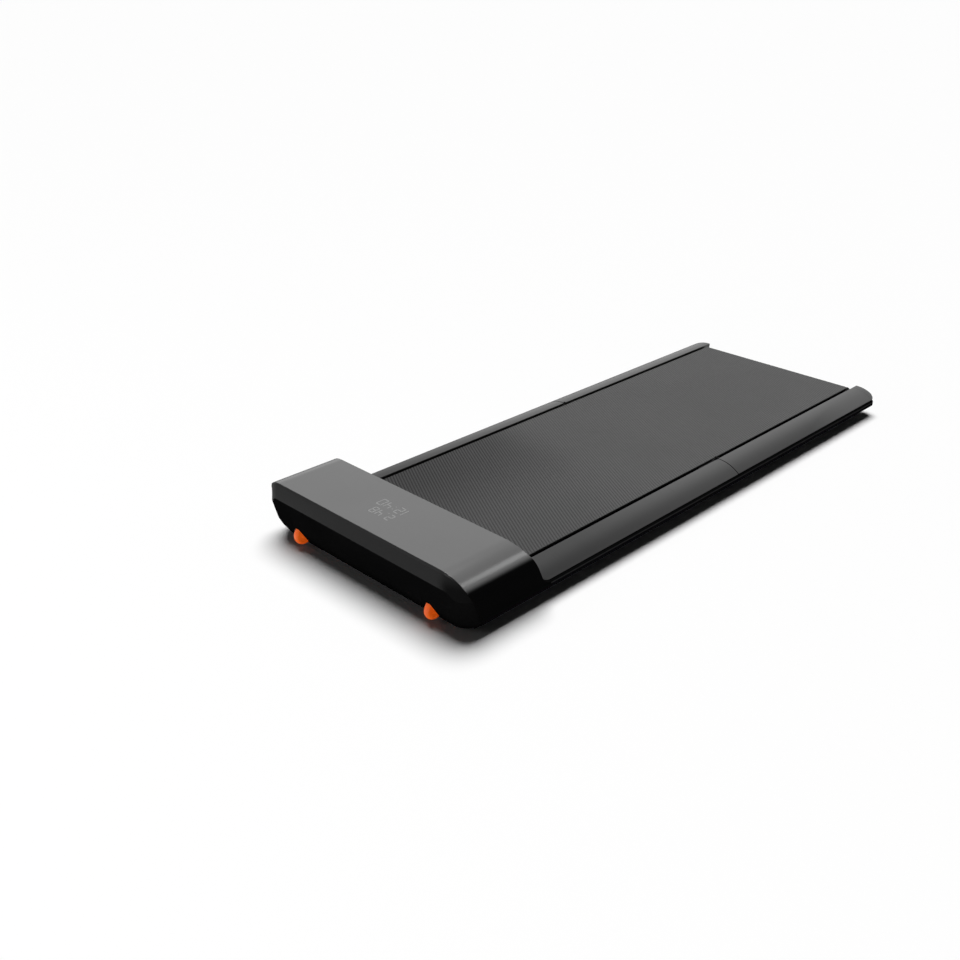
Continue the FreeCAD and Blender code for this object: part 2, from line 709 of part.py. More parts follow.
def roller_pulley():
    """The large pulley with the hub that drives the front roller."""
    hub = rod_x((PULLEY_X[1], -ROLLER_HALF), FRONT_ROLLER_Y, ROLLER_Z, ROLLER_RADIUS)
    hub = hub.cut(rod_x((PULLEY_X[1], -ROLLER_HALF), FRONT_ROLLER_Y, ROLLER_Z, AXLE_RADIUS + RUNNING_FIT))
    wheel_part = pulley(FRONT_ROLLER_Y, ROLLER_Z, ROLLER_PULLEY_RADIUS, AXLE_RADIUS + RUNNING_FIT)
    return fuse([wheel_part, hub])


def loop_outline(first, second):
    """The outline of a belt round two circles, each given as (y, z, radius)."""
    dy = second[0] - first[0]
    dz = second[1] - first[1]
    heading = math.atan2(dz, dy)
    spread = math.acos((first[2] - second[2]) / math.hypot(dy, dz))

    def point(circle, angle):
        return (circle[0] + circle[2] * math.cos(angle), circle[1] + circle[2] * math.sin(angle))

    upper = heading + spread
    lower = heading - spread
    return [
        point(second, lower),
        (point(second, heading), point(second, upper)),
        point(first, upper),
        (point(first, heading + math.pi), point(first, lower)),
    ]


def drive_belt():
    """The ribbed belt from the motor pulley to the roller pulley."""
    x = (PULLEY_X[0] + PULLEY_FLANGE + DRIVE_BELT_GAP, PULLEY_X[1] - PULLEY_FLANGE - DRIVE_BELT_GAP)
    loops = []
    for grow in (BELT_SLACK + DRIVE_BELT_THICKNESS, BELT_SLACK):
        first = (FRONT_ROLLER_Y, ROLLER_Z, ROLLER_PULLEY_RADIUS + grow)
        second = (MOTOR_Y, MOTOR_Z, MOTOR_PULLEY_RADIUS + grow)
        loops.append(along_x(loop_outline(first, second), x))
    return loops[0].cut(loops[1])


def control_board():
    """The motor controller on its posts, with its capacitors and terminal block."""
    pieces = [box(CONTROL_X, CONTROL_Y, (CONTROL_LOW_Z, CONTROL_TOP_Z))]
    for post_x in (CONTROL_X[0] + POST_INSET, CONTROL_X[1] - POST_INSET):
        for post_y in (CONTROL_Y[0] + POST_INSET, CONTROL_Y[1] - POST_INSET):
            pieces.append(rod_z(post_x, post_y, (BASE_PLATE_TOP_Z, CONTROL_LOW_Z), POST_RADIUS))
    for x in CAPACITORS_X:
        z = (CONTROL_TOP_Z, CONTROL_TOP_Z + CAPACITOR_HEIGHT)
        pieces.append(rod_z(x, CAPACITOR_Y, z, CAPACITOR_RADIUS))
    pieces.append(box(TERMINAL_X, TERMINAL_Y, (CONTROL_TOP_Z, CONTROL_TOP_Z + TERMINAL_HEIGHT)))
    return fuse(pieces)


def heat_sink():
    """The finned heat sink on the control board."""
    base_top = CONTROL_TOP_Z + HEAT_SINK_BASE
    pieces = [box(HEAT_SINK_X, HEAT_SINK_Y, (CONTROL_TOP_Z, base_top))]
    pitch = (HEAT_SINK_X[1] - HEAT_SINK_X[0] - FIN_THICKNESS) / (FIN_COUNT - 1)
    for index in range(FIN_COUNT):
        x = HEAT_SINK_X[0] + index * pitch
        z = (base_top, CONTROL_TOP_Z + HEAT_SINK_HEIGHT)
        pieces.append(box((x, x + FIN_THICKNESS), HEAT_SINK_Y, z))
    return fuse(pieces)


def display_diffuser():
    """The light diffuser under the top of the cover."""
    top = OVERALL_HEIGHT - WALL
    return rounded_block(DIFFUSER_X, DIFFUSER_Y, (top - DIFFUSER_THICKNESS, top), DIFFUSER_CORNER)


def display_board():
    """The display's circuit board with its light blocks."""
    top = OVERALL_HEIGHT - WALL - DIFFUSER_THICKNESS
    board_top = top - LIGHT_BLOCK_HEIGHT
    pieces = [box(DISPLAY_BOARD_X, DISPLAY_BOARD_Y, (board_top - CIRCUIT_THICKNESS, board_top))]
    for x in LIGHT_BLOCKS_X:
        pieces.append(box((x - LIGHT_BLOCK_HALF, x + LIGHT_BLOCK_HALF), LIGHT_BLOCK_Y, (board_top, top)))
    return fuse(pieces)


# Power entry

def entry_block(x, centre_y, centre_z, size, grow):
    """A block of a (width, height) size in the left-hand wall."""
    y = (centre_y - size[0] / 2 - grow, centre_y + size[0] / 2 + grow)
    z = (centre_z - size[1] / 2 - grow, centre_z + size[1] / 2 + grow)
    return box(x, y, z)


def power_inlet():
    """The mains inlet: a socket with three blades."""
    socket_end = ENTRY_FACE_X + SOCKET_DEPTH
    body = entry_block((ENTRY_FACE_X, INLET_BACK_X), INLET_Y, INLET_Z, INLET_SIZE, 0)
    body = body.cut(entry_block((ENTRY_FACE_X, socket_end), INLET_Y, INLET_Z, SOCKET_SIZE, 0))
    blades = []
    for shift_y, shift_z in BLADE_PLACES:
        x = (ENTRY_FACE_X + BLADE_SETBACK, socket_end)
        blades.append(entry_block(x, INLET_Y + shift_y, INLET_Z + shift_z, BLADE_SIZE, 0))
    return fuse([body] + blades)


def switch_body():
    """The rocker switch's case, open at the front, with its pivot holes."""
    body = entry_block((ENTRY_FACE_X, SWITCH_BACK_X), SWITCH_Y, SWITCH_Z, SWITCH_SIZE, 0)
    cavity = entry_block((ENTRY_FACE_X, SWITCH_CAVITY_X), SWITCH_Y, SWITCH_Z, SWITCH_CAVITY_SIZE, 0)
    pivot_z = (SWITCH_Z - ROCKER_PIVOT_HALF - LOOSE_FIT, SWITCH_Z + ROCKER_PIVOT_HALF + LOOSE_FIT)
    pivot = rod_z(ROCKER_PIVOT_X, SWITCH_Y, pivot_z, ROCKER_PIVOT_RADIUS + RUNNING_FIT)
    return body.cut(cavity).cut(pivot)


def switch_rocker():
    """The rocker, resting in its off position."""
    plan = [
        (ROCKER_BACK_X, SWITCH_Y - ROCKER_HALF),
        (ROCKER_EDGE_X, SWITCH_Y - ROCKER_HALF),
        (ROCKER_FACE_X, SWITCH_Y),
        (ROCKER_EDGE_X, SWITCH_Y + ROCKER_HALF),
        (ROCKER_BACK_X, SWITCH_Y + ROCKER_HALF),
    ]
    z = (SWITCH_Z - ROCKER_HALF_HEIGHT, SWITCH_Z + ROCKER_HALF_HEIGHT)
    pivot_z = (SWITCH_Z - ROCKER_PIVOT_HALF, SWITCH_Z + ROCKER_PIVOT_HALF)
    hub = rod_z(ROCKER_PIVOT_X, SWITCH_Y, z, ROCKER_HUB_RADIUS)
    pivot = rod_z(ROCKER_PIVOT_X, SWITCH_Y, pivot_z, ROCKER_PIVOT_RADIUS)
    rocker = fuse([along_z(plan, z), hub, pivot])
    rocker.rotate(Vector(ROCKER_PIVOT_X, SWITCH_Y, SWITCH_Z), Vector(0, 0, 1), -ROCKER_REST_TILT)
    return rocker


# Belly pans

def window_y(side):
    """The limits of a pan's window, on the rear (1) or front (-1) side of the fold."""
    near = FOLD_Y + side * WINDOW_NEAR
    far = FOLD_Y + side * WINDOW_FAR
    return (min(near, far), max(near, far))


def with_window(pan, side):
    """Cut a pan's window and turn its rim inwards."""
    x = (-WINDOW_HALF, WINDOW_HALF)
    y = window_y(side)
    opening = rounded_block(x, y, (0, WINDOW_RIM_Z), WINDOW_RADIUS)
    outer_x = (x[0] - WALL, x[1] + WALL)
    outer_y = (y[0] - WALL, y[1] + WALL)
    rim = rounded_block(outer_x, outer_y, (UNDERSIDE_Z, WINDOW_RIM_Z), WINDOW_RADIUS + WALL)
    return fuse([pan, rim]).cut(opening)


def with_screw_holes(shape, screws_y):
    """Cut the right and left screw holes."""
    for y in screws_y:
        for x in (-SCREW_X, SCREW_X):
            shape = shape.cut(rod_z(x, y, (0, FLANGE_TOP_Z + PAST), SCREW_RADIUS + LOOSE_FIT))
    return shape


def fold_slope(end_y, inward):
    """The wedge of a pan's turned-up lip at the fold, which stays solid."""
    steps = [
        (end_y, UNDERSIDE_Z),
        (end_y, FOLD_LIP_Z),
        (end_y + inward * FOLD_LIP_THICKNESS, FOLD_LIP_Z),
        (end_y + inward * (FOLD_LIP_RUN + FOLD_LIP_THICKNESS), UNDERSIDE_Z),
    ]
    return along_x(steps, (-HALF_WIDTH, HALF_WIDTH))


def front_pan():
    """The belly pan of the front half, from the nose to the fold."""
    start = HEAD_SIDE_FRONT_Y + PAN_GAP
    skirt_start = fillet_under_rail(HEAD_FILLET)[2][0] + PAN_GAP
    under_cover = SIDE_LOW_Z - PAN_GAP
    length_view = [
        (start, UNDERSIDE_Z),
        (FRONT_END_Y - FOLD_LIP_RUN, UNDERSIDE_Z),
        (FRONT_END_Y, FOLD_LIP_Z),
        (FRONT_END_Y, SKIRT_TOP_Z),
        (skirt_start, SKIRT_TOP_Z),
        (skirt_start, under_cover),
        (start, under_cover),
    ]
    across = (-HALF_WIDTH, HALF_WIDTH)
    outer = along_y(pan_outline(0, SKIRT_TOP_Z), (start, FRONT_END_Y))
    outer = outer.common(along_x(length_view, across))
    hollow = along_y(pan_outline(WALL, SKIRT_TOP_Z + PAST), (start - PAST, FRONT_END_Y + PAST))
    pan = outer.cut(hollow.cut(fold_slope(FRONT_END_Y, -1)))
    return with_screw_holes(with_window(pan, -1), FRONT_SCREWS_Y)


def rear_pan():
    """The belly pan of the rear half, from the fold to the rounded rear end."""
    length_view = [
        (REAR_START_Y, OVERALL_HEIGHT),
        (REAR_START_Y, FOLD_LIP_Z),
        (REAR_START_Y + FOLD_LIP_RUN, UNDERSIDE_Z),
        (REAR_Y, UNDERSIDE_Z),
        (REAR_Y, OVERALL_HEIGHT),
    ]
    outer = rear_tray(0, SKIRT_TOP_Z).common(along_x(length_view, (-HALF_WIDTH, HALF_WIDTH)))
    hollow = rear_tray(WALL, SKIRT_TOP_Z + PAST).cut(fold_slope(REAR_START_Y, 1))
    pan = outer.cut(hollow)
    end_y = (REAR_Y - 2 * WALL, REAR_Y + PAST)
    pan = pan.cut(box((-RAIL_INNER, RAIL_INNER), end_y, (REAR_LIP_Z, SKIRT_TOP_Z + PAST)))
    for x in (-TENSION_X, TENSION_X):
        pan = pan.cut(rod_y(x, end_y, ROLLER_Z, TENSION_ACCESS_RADIUS))
    return with_screw_holes(with_window(pan, 1), REAR_SCREWS_Y)


# Frame, deck and rails

def beam(web_y, ledge_y, flange_y, screws_y):
    """A right-hand side beam: an upright web, a ledge for the deck and a foot flange."""
    web = box((WEB_INNER, WEB_OUTER), web_y, (PAN_SKIN_TOP_Z, WEB_TOP_Z))
    ledge = box((LEDGE_INNER, WEB_OUTER), ledge_y, (LEDGE_LOW_Z, LEDGE_TOP_Z))
    flange = box((WEB_OUTER, FLANGE_OUTER), flange_y, (PAN_SKIN_TOP_Z, FLANGE_TOP_Z))
    return with_screw_holes(fuse([web, ledge, flange]), screws_y)


def front_beam():
    """The right-hand front beam, with the front axle's hole."""
    web_end = FRONT_END_Y - BEAM_FOLD_GAP
    ledge_y = (LEDGE_FRONT_Y, FRONT_END_Y - LEDGE_FOLD_GAP)
    shape = beam((BEAM_FRONT_Y, web_end), ledge_y, (FLANGE_FRONT_Y, web_end), FRONT_SCREWS_Y)
    hole_x = (WEB_INNER, WEB_OUTER)
    return shape.cut(rod_x(hole_x, FRONT_ROLLER_Y, ROLLER_Z, AXLE_RADIUS + LOOSE_FIT))


def rear_beam():
    """The right-hand rear beam, with the rear axle's slot and the tension bolt's plate."""
    web_start = REAR_START_Y + BEAM_FOLD_GAP
    ledge_y = (REAR_START_Y + LEDGE_FOLD_GAP, LEDGE_REAR_Y)
    shape = beam((web_start, BEAM_REAR_Y), ledge_y, (web_start, FLANGE_REAR_Y), REAR_SCREWS_Y)
    shape = shape.cut(box((0, HALF_WIDTH), (FLANGE_REAR_Y, REAR_Y), (0, REAR_LIP_Z)))
    plate = box((TENSION_PLATE_INNER, WEB_INNER), TENSION_PLATE_Y, (REAR_LIP_Z, WEB_TOP_Z))
    plate = plate.cut(rod_y(TENSION_X, TENSION_PLATE_Y, ROLLER_Z, TENSION_RADIUS + TENSION_FIT))
    slot_x = (WEB_INNER, WEB_OUTER)
    slot_y = (REAR_ROLLER_Y - AXLE_SLOT_TRAVEL, REAR_ROLLER_Y + AXLE_SLOT_TRAVEL)
    slot_radius = AXLE_RADIUS + LOOSE_FIT
    slot = fuse([
        rod_x(slot_x, slot_y[0], ROLLER_Z, slot_radius),
        rod_x(slot_x, slot_y[1], ROLLER_Z, slot_radius),
        box(slot_x, slot_y, (ROLLER_Z - slot_radius, ROLLER_Z + slot_radius)),
    ])
    return fuse([shape, plate]).cut(slot)


def cross_bars(starts_y):
    """Bars that tie the two beams together between the runs of the tread belt."""
    z = (CROSS_BAR_LOW_Z, CROSS_BAR_TOP_Z)
    bars = [box((-WEB_INNER, WEB_INNER), (y, y + CROSS_BAR_WIDTH), z) for y in starts_y]
    return Part.makeCompound(bars)


def deck_cushions(starts_y):
    """Rubber pads between the ledges and the deck board."""
    z = (LEDGE_TOP_Z, BOARD_LOW_Z)
    pads = []
    for y in starts_y:
        for x in ((CUSHION_INNER, CUSHION_OUTER), (-CUSHION_OUTER, -CUSHION_INNER)):
            pads.append(box(x, (y, y + CUSHION_LENGTH), z))
    return Part.makeCompound(pads)


def deck_board(y):
    """A walking deck board."""
    return box((-BOARD_HALF, BOARD_HALF), y, (BOARD_LOW_Z, BELT_UNDER_Z))


def rail_outer_steps():
    """The outside of the right-hand rail, from its inner wall over the crown to its lower edge."""
    turn = RAIL_EDGE * (1 - math.sqrt(0.5))
    return [
        (RAIL_INNER, RAIL_TOP_Z - RAIL_EDGE),
        ((RAIL_INNER + turn, RAIL_TOP_Z - turn), (RAIL_INNER + RAIL_EDGE, RAIL_TOP_Z)),
        (RAIL_CROWN, (RAIL_OUTER, RAIL_LOW_Z)),
    ]


def rail_inner_steps():
    """The inside of the right-hand rail, from its outer foot under the crown to its inner wall."""
    crown = (RAIL_CROWN[0] - RAIL_CROWN_SHIFT, RAIL_CROWN[1] - RAIL_WALL)
    return [
        (RAIL_OUTER - RAIL_FOOT, RAIL_LOW_Z),
        (crown, (RAIL_INNER + RAIL_WALL, RAIL_TOP_Z - RAIL_WALL)),
    ]


def rail(y):
    """A right-hand side rail: an arched profile on an inner wall and an outer leg."""
    steps = [(RAIL_INNER, LEDGE_TOP_Z)] + rail_outer_steps() + rail_inner_steps()
    profile = along_y(steps + [(RAIL_INNER + RAIL_WALL, LEDGE_TOP_Z)], y)
    leg = box((RAIL_LEG_OUTER - RAIL_WALL, RAIL_LEG_OUTER), y, (RAIL_LEG_LOW_Z, RAIL_LOW_Z + RAIL_WALL))
    return fuse([profile, leg])


def front_rail():
    """The right-hand front rail, whose front end follows the head."""
    start, middle, end = fillet_under_rail(HEAD_FILLET - RAIL_HEAD_GAP)
    run = (HEAD_REAR_LOW[0] - HEAD_REAR_MID[0]) / (HEAD_REAR_LOW[1] - HEAD_REAR_MID[1])
    top_z = RAIL_TOP_Z + PAST
    side_view = [
        start,
        (middle, end),
        (end[0], 0),
        (FRONT_END_Y, 0),
        (FRONT_END_Y, top_z),
        (start[0] + (top_z - start[1]) * run, top_z),
    ]
    across = (RAIL_INNER - PAST, RAIL_OUTER + PAST)
    return rail((HEAD_TOP_REAR_Y, FRONT_END_Y)).common(along_x(side_view, across))


def rear_rail():
    """The right-hand rear rail, notched over the axle."""
    notch_y = (REAR_ROLLER_Y - 2 * AXLE_RADIUS, REAR_ROLLER_Y + 2 * AXLE_RADIUS)
    notch_z = (0, ROLLER_Z + AXLE_RADIUS + AXLE_NOTCH)
    notch = box((RAIL_INNER - PAST, RAIL_INNER + RAIL_WALL), notch_y, notch_z)
    return rail((REAR_START_Y, REAR_Y - RAIL_END_CORNER)).cut(notch)


def rail_end_cap():
    """The hollow moulding that ends the right-hand rail, with a rounded corner and a tension bolt hole."""
    y = (REAR_Y - RAIL_END_CORNER, REAR_Y)
    height = (0, OVERALL_HEIGHT)
    cap = along_y([(RAIL_INNER, RAIL_LOW_Z)] + rail_outer_steps(), y)
    cap = cap.common(along_z(rear_plan(RAIL_OUTER, REAR_Y, RAIL_END_CORNER), height))
    inner_y = REAR_Y - END_CAP
    low_z = RAIL_LOW_Z - PAST
    under = [(RAIL_INNER + RAIL_WALL, low_z), (RAIL_OUTER - RAIL_FOOT, low_z)]
    hollow = along_y(rail_inner_steps() + under, (y[0], inner_y))
    inner_plan = rear_plan(RAIL_OUTER - END_CAP, inner_y, RAIL_END_CORNER - END_CAP)
    cap = cap.cut(hollow.common(along_z(inner_plan, height)))
    return cap.cut(rod_y(TENSION_X, (inner_y, REAR_Y), ROLLER_Z, TENSION_ACCESS_RADIUS))


# Tread belt and rollers

def tread_belt(roller_y, end_y):
    """Half of the tread belt: its upper run, its turn round a roller and its lower run."""
    outward = 1 if roller_y > end_y else -1
    steps = [
        (end_y, ROLLER_Z + BELT_OUTER),
        (roller_y, ROLLER_Z + BELT_OUTER),
        ((roller_y + outward * BELT_OUTER, ROLLER_Z), (roller_y, ROLLER_Z - BELT_OUTER)),
        (end_y, ROLLER_Z - BELT_OUTER),
        (end_y, ROLLER_Z - BELT_INNER),
        (roller_y, ROLLER_Z - BELT_INNER),
        ((roller_y + outward * BELT_INNER, ROLLER_Z), (roller_y, ROLLER_Z + BELT_INNER)),
        (end_y, ROLLER_Z + BELT_INNER),
    ]
    return along_x(steps, (-BELT_HALF, BELT_HALF))


def roller(y):
    """A roller tube."""
    x = (-ROLLER_HALF, ROLLER_HALF)
    return rod_x(x, y, ROLLER_Z, ROLLER_RADIUS).cut(rod_x(x, y, ROLLER_Z, ROLLER_BORE))


def roller_bearings(y):
    """The two bearings in a roller's ends, which turn on its axle."""
    rings = []
    outer = ROLLER_HALF - BEARING_SETBACK
    inner = outer - BEARING_WIDTH
    for x in ((-outer, -inner), (inner, outer)):
        bore = rod_x(x, y, ROLLER_Z, AXLE_RADIUS + RUNNING_FIT)
        rings.append(rod_x(x, y, ROLLER_Z, ROLLER_BORE).cut(bore))
    return Part.makeCompound(rings)


def rear_axle():
    """The rear roller's fixed axle, drilled for the tension bolts."""
    axle = rod_x((-WEB_OUTER, WEB_OUTER), REAR_ROLLER_Y, ROLLER_Z, AXLE_RADIUS)
    for x in (-TENSION_X, TENSION_X):
        hole_y = (REAR_ROLLER_Y - 2 * AXLE_RADIUS, REAR_ROLLER_Y + 2 * AXLE_RADIUS)
        axle = axle.cut(rod_y(x, hole_y, ROLLER_Z, TENSION_RADIUS + TENSION_FIT))
    return axle


def tension_bolt():
    """The right-hand belt tension bolt with its hexagon-socket head."""
    head_start = TENSION_PLATE_Y[1] + TENSION_HEAD_GAP
    head_end = head_start + TENSION_HEAD_LENGTH
    shank = rod_y(TENSION_X, (REAR_ROLLER_Y - TENSION_TIP, head_start), ROLLER_Z, TENSION_RADIUS)
    head = rod_y(TENSION_X, (head_start, head_end), ROLLER_Z, TENSION_HEAD_RADIUS)
    corners = []
    for index in range(6):
        angle = index * math.pi / 3
        x = TENSION_X + TENSION_SOCKET_RADIUS * math.cos(angle)
        z = ROLLER_Z + TENSION_SOCKET_RADIUS * math.sin(angle)
        corners.append((x, z))
    socket = along_y(corners, (head_end - TENSION_SOCKET_DEPTH, head_end))
    return fuse([shank, head]).cut(socket)


# Hinges

def hinge_leaf(x, side, hole_radius):
    """A right-hand hinge leaf on the front (-1) or rear (1) side of the fold."""
    plate = [
        (FOLD_Y + side * LEAF_LENGTH, LEDGE_TOP_Z),
        (FOLD_Y + side * LEAF_LOW_GAP, LEDGE_TOP_Z),
        (FOLD_Y + side * LEAF_EYE_GAP, FOLD_Z),
        (FOLD_Y + side * EYE_RADIUS, FOLD_Z),
        (FOLD_Y + side * LEAF_NECK_RUN, LEAF_TOP_Z),
        (FOLD_Y + side * LEAF_LENGTH, LEAF_TOP_Z),
    ]
    eye = rod_x(x, FOLD_Y, FOLD_Z, EYE_RADIUS)
    return fuse([along_x(plate, x), eye]).cut(rod_x(x, FOLD_Y, FOLD_Z, hole_radius))


def hinge_pin():
    """The right-hand hinge pin."""
    return rod_x(HINGE_PIN_X, FOLD_Y, FOLD_Z, HINGE_PIN_RADIUS)


# Feet and screws

def sole_edges(shape):
    """The edges of a foot that lie on the floor."""
    return [edge for edge in shape.Edges if max(vertex.Z for vertex in edge.Vertexes) < UNDERSIDE_Z / 2]


def bar_foot(y):
    """A right-hand bar foot."""
    half_x = BAR_FOOT_SIZE[0] / 2
    half_y = BAR_FOOT_SIZE[1] / 2
    x_limits = (FOOT_X - half_x, FOOT_X + half_x)
    y_limits = (y - half_y, y + half_y)
    block = rounded_block(x_limits, y_limits, (0, UNDERSIDE_Z), half_y - PAST)
    return block.makeFillet(BAR_FOOT_EDGE, sole_edges(block))


def round_foot(y):
    """A right-hand round foot, a little narrower at the floor."""
    floor_radius = ROUND_FOOT_RADIUS - FOOT_TAPER
    cone = Part.makeCone(floor_radius, ROUND_FOOT_RADIUS, UNDERSIDE_Z, Vector(FOOT_X, y, 0))
    return cone.makeFillet(ROUND_FOOT_EDGE, sole_edges(cone))


def pan_screws(screws_y):
    """The screws that hold a pan to its beams."""
    screws = []
    for y in screws_y:
        for x in (-SCREW_X, SCREW_X):
            head = rod_z(x, y, (SCREW_HEAD_Z, UNDERSIDE_Z), SCREW_HEAD_RADIUS)
            shank = rod_z(x, y, (UNDERSIDE_Z, FLANGE_TOP_Z), SCREW_RADIUS)
            screws.append(fuse([head, shank]))
    return Part.makeCompound(screws)


def main():
    """Write every node."""
    os.makedirs("parts", exist_ok=True)
    # Motor head
    save("head_cover", head_cover())
    save("front_fascia", front_fascia())
    save("head_base_plate", base_plate())
    save("motor_housing", motor_housing())
    save("motor_bracket", motor_bracket())
    save("motor_rotor", motor_rotor())
    save("motor_pulley", pulley(MOTOR_Y, MOTOR_Z, MOTOR_PULLEY_RADIUS, SHAFT_RADIUS))
    save("drive_belt", drive_belt())
    save("control_board", control_board())
    save("heat_sink", heat_sink())
    save("display_diffuser", display_diffuser())
    save("display_board", display_board())
    save("power_inlet", power_inlet())
    save("switch_body", switch_body())
    save("switch_rocker", switch_rocker())
    save_pair("wheel_housing", wheel_housing())
    save_pair("wheel", wheel())
    save_twins("wheel_pins", wheel_pin())
    # Front half
    save("front_pan", front_pan())
    save_pair("front_beam", front_beam())
    save("front_cross_bars", cross_bars(FRONT_CROSS_BARS_Y))
    save("front_deck_cushions", deck_cushions(FRONT_CUSHIONS_Y))
    save("front_deck_board", deck_board((BOARD_FRONT_Y, FOLD_Y - BOARD_FOLD_GAP)))
    save_pair("front_rail", front_rail())
    save("tread_belt_front", tread_belt(FRONT_ROLLER_Y, FRONT_END_Y))
    save("front_roller", roller(FRONT_ROLLER_Y))
    save("front_bearings", roller_bearings(FRONT_ROLLER_Y))
    save("roller_pulley", roller_pulley())
    save("front_axle", rod_x((-WEB_OUTER, WEB_OUTER), FRONT_ROLLER_Y, ROLLER_Z, AXLE_RADIUS))
    save_pair("front_hinge_leaf", hinge_leaf(FRONT_LEAF_X, -1, HINGE_PIN_RADIUS))
    save_twins("hinge_pins", hinge_pin())
    save_twins("front_bar_feet", bar_foot(FRONT_BAR_FOOT_Y))
    save_twins("front_round_feet", round_foot(FRONT_ROUND_FOOT_Y))
    save("front_pan_screws", pan_screws(FRONT_SCREWS_Y))
    # Rear half
    save("rear_pan", rear_pan())
    save_pair("rear_beam", rear_beam())
    save("rear_cross_bars", cross_bars(REAR_CROSS_BARS_Y))
    save("rear_deck_cushions", deck_cushions(REAR_CUSHIONS_Y))
    save("rear_deck_board", deck_board((FOLD_Y + BOARD_FOLD_GAP, BOARD_REAR_Y)))
    save_pair("rear_rail", rear_rail())
    save_twins("rail_end_caps", rail_end_cap())
    save("tread_belt_rear", tread_belt(REAR_ROLLER_Y, REAR_START_Y))
    save("rear_roller", roller(REAR_ROLLER_Y))
    save("rear_bearings", roller_bearings(REAR_ROLLER_Y))
    save("rear_axle", rear_axle())
    save_pair("tension_bolt", tension_bolt())
    save_pair("rear_hinge_leaf", hinge_leaf(REAR_LEAF_X, 1, HINGE_PIN_RADIUS + RUNNING_FIT))
    save_twins("rear_bar_feet", bar_foot(REAR_BAR_FOOT_Y))
    save_twins("rear_round_feet", round_foot(REAR_ROUND_FOOT_Y))
    save("rear_pan_screws", pan_screws(REAR_SCREWS_Y))


main()
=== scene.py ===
import json
import math

import bmesh
import bpy
from mathutils import Matrix, Vector


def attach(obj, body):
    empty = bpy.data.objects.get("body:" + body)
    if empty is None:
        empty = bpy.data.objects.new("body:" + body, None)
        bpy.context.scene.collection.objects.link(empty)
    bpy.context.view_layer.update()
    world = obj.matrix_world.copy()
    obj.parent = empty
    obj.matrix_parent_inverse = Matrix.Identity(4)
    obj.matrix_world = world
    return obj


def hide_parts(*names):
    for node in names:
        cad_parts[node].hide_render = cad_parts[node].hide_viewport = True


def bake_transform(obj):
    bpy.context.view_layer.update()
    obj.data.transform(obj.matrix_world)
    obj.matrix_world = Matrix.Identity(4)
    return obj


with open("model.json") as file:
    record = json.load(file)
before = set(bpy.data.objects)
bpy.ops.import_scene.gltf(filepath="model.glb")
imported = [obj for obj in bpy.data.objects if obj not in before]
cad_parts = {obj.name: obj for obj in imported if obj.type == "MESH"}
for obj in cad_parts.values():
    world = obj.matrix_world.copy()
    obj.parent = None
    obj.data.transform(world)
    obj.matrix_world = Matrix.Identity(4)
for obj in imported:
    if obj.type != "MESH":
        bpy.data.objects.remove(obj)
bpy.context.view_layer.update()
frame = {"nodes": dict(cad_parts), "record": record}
nodes = frame["nodes"]
scene = bpy.context.scene

MM = 0.001
NEAR = 0.01 * MM

# Shared sizes of the pad in metres, as the solids have them

FOLD = Vector((0.0, 0.106, 0.060))
HEAD_TOP = 0.129
ROLLER_Z = 0.039
FRONT_ROLLER_Y = -0.575
REAR_ROLLER_Y = 0.688
BELT_TOP = 0.0583
BELT_THICK = 0.002
BELT_TURN = BELT_TOP - ROLLER_Z
BELT_RUN = REAR_ROLLER_Y - FRONT_ROLLER_Y

# The belt's width and middle here: a little narrower than the solid one, and a little to the left

BELT_HALF = 0.20665
BELT_MIDDLE = -0.00085


# Working by hand: selection and editing

MERGE_ANGLE = math.radians(0.6)
ROUNDED_ANGLE = math.radians(32)
FACING = 0.999


def lay_down_tools():
    """Leaves edit mode and selects nothing."""
    if bpy.context.mode != "OBJECT":
        bpy.ops.object.mode_set(mode="OBJECT")
    bpy.ops.object.select_all(action="DESELECT")


def take(piece):
    """Selects one piece alone and makes it active."""
    lay_down_tools()
    piece.select_set(True)
    bpy.context.view_layer.objects.active = piece


def open_edit(piece, kind="FACE"):
    """Opens a piece for editing with nothing selected."""
    take(piece)
    bpy.ops.object.mode_set(mode="EDIT")
    bpy.ops.mesh.select_mode(type=kind)
    bpy.ops.mesh.select_all(action="DESELECT")


def close_edit():
    """Closes the edit, with the piece still selected."""
    bpy.ops.object.mode_set(mode="OBJECT")


def pick(piece, kind, wanted):
    """Selects the wanted vertices, edges or faces, by their middle and their normal, or an edge's run."""
    bpy.ops.mesh.select_mode(type=kind)
    bpy.ops.mesh.select_all(action="DESELECT")
    mesh = bmesh.from_edit_mesh(piece.data)
    if kind == "VERT":
        for vertex in mesh.verts:
            vertex.select_set(wanted(vertex.co, vertex.normal))
    elif kind == "EDGE":
        for edge in mesh.edges:
            middle = (edge.verts[0].co + edge.verts[1].co) / 2
            edge.select_set(wanted(middle, edge.verts[1].co - edge.verts[0].co))
    else:
        for face in mesh.faces:
            face.select_set(wanted(face.calc_center_median(), face.normal))
    mesh.select_flush_mode()
    bmesh.update_edit_mesh(piece.data)


def select_all():
    """Selects everything in the open piece."""
    bpy.ops.mesh.select_all(action="SELECT")


def extrude(*shift):
    """Extrudes what is selected by a shift."""
    bpy.ops.mesh.extrude_region_move(TRANSFORM_OT_translate={"value": shift})


def face_outwards():
    """Turns all faces of the open piece outwards."""
    select_all()
    bpy.ops.mesh.normals_make_consistent(inside=False)


def apply_modifier(piece, kind, **values):
    """Adds one modifier with its values and applies it."""
    take(piece)
    modifier = piece.modifiers.new(kind.lower(), kind)
    for name, value in values.items():
        setattr(modifier, name, value)
    bpy.ops.object.modifier_apply(modifier=modifier.name)


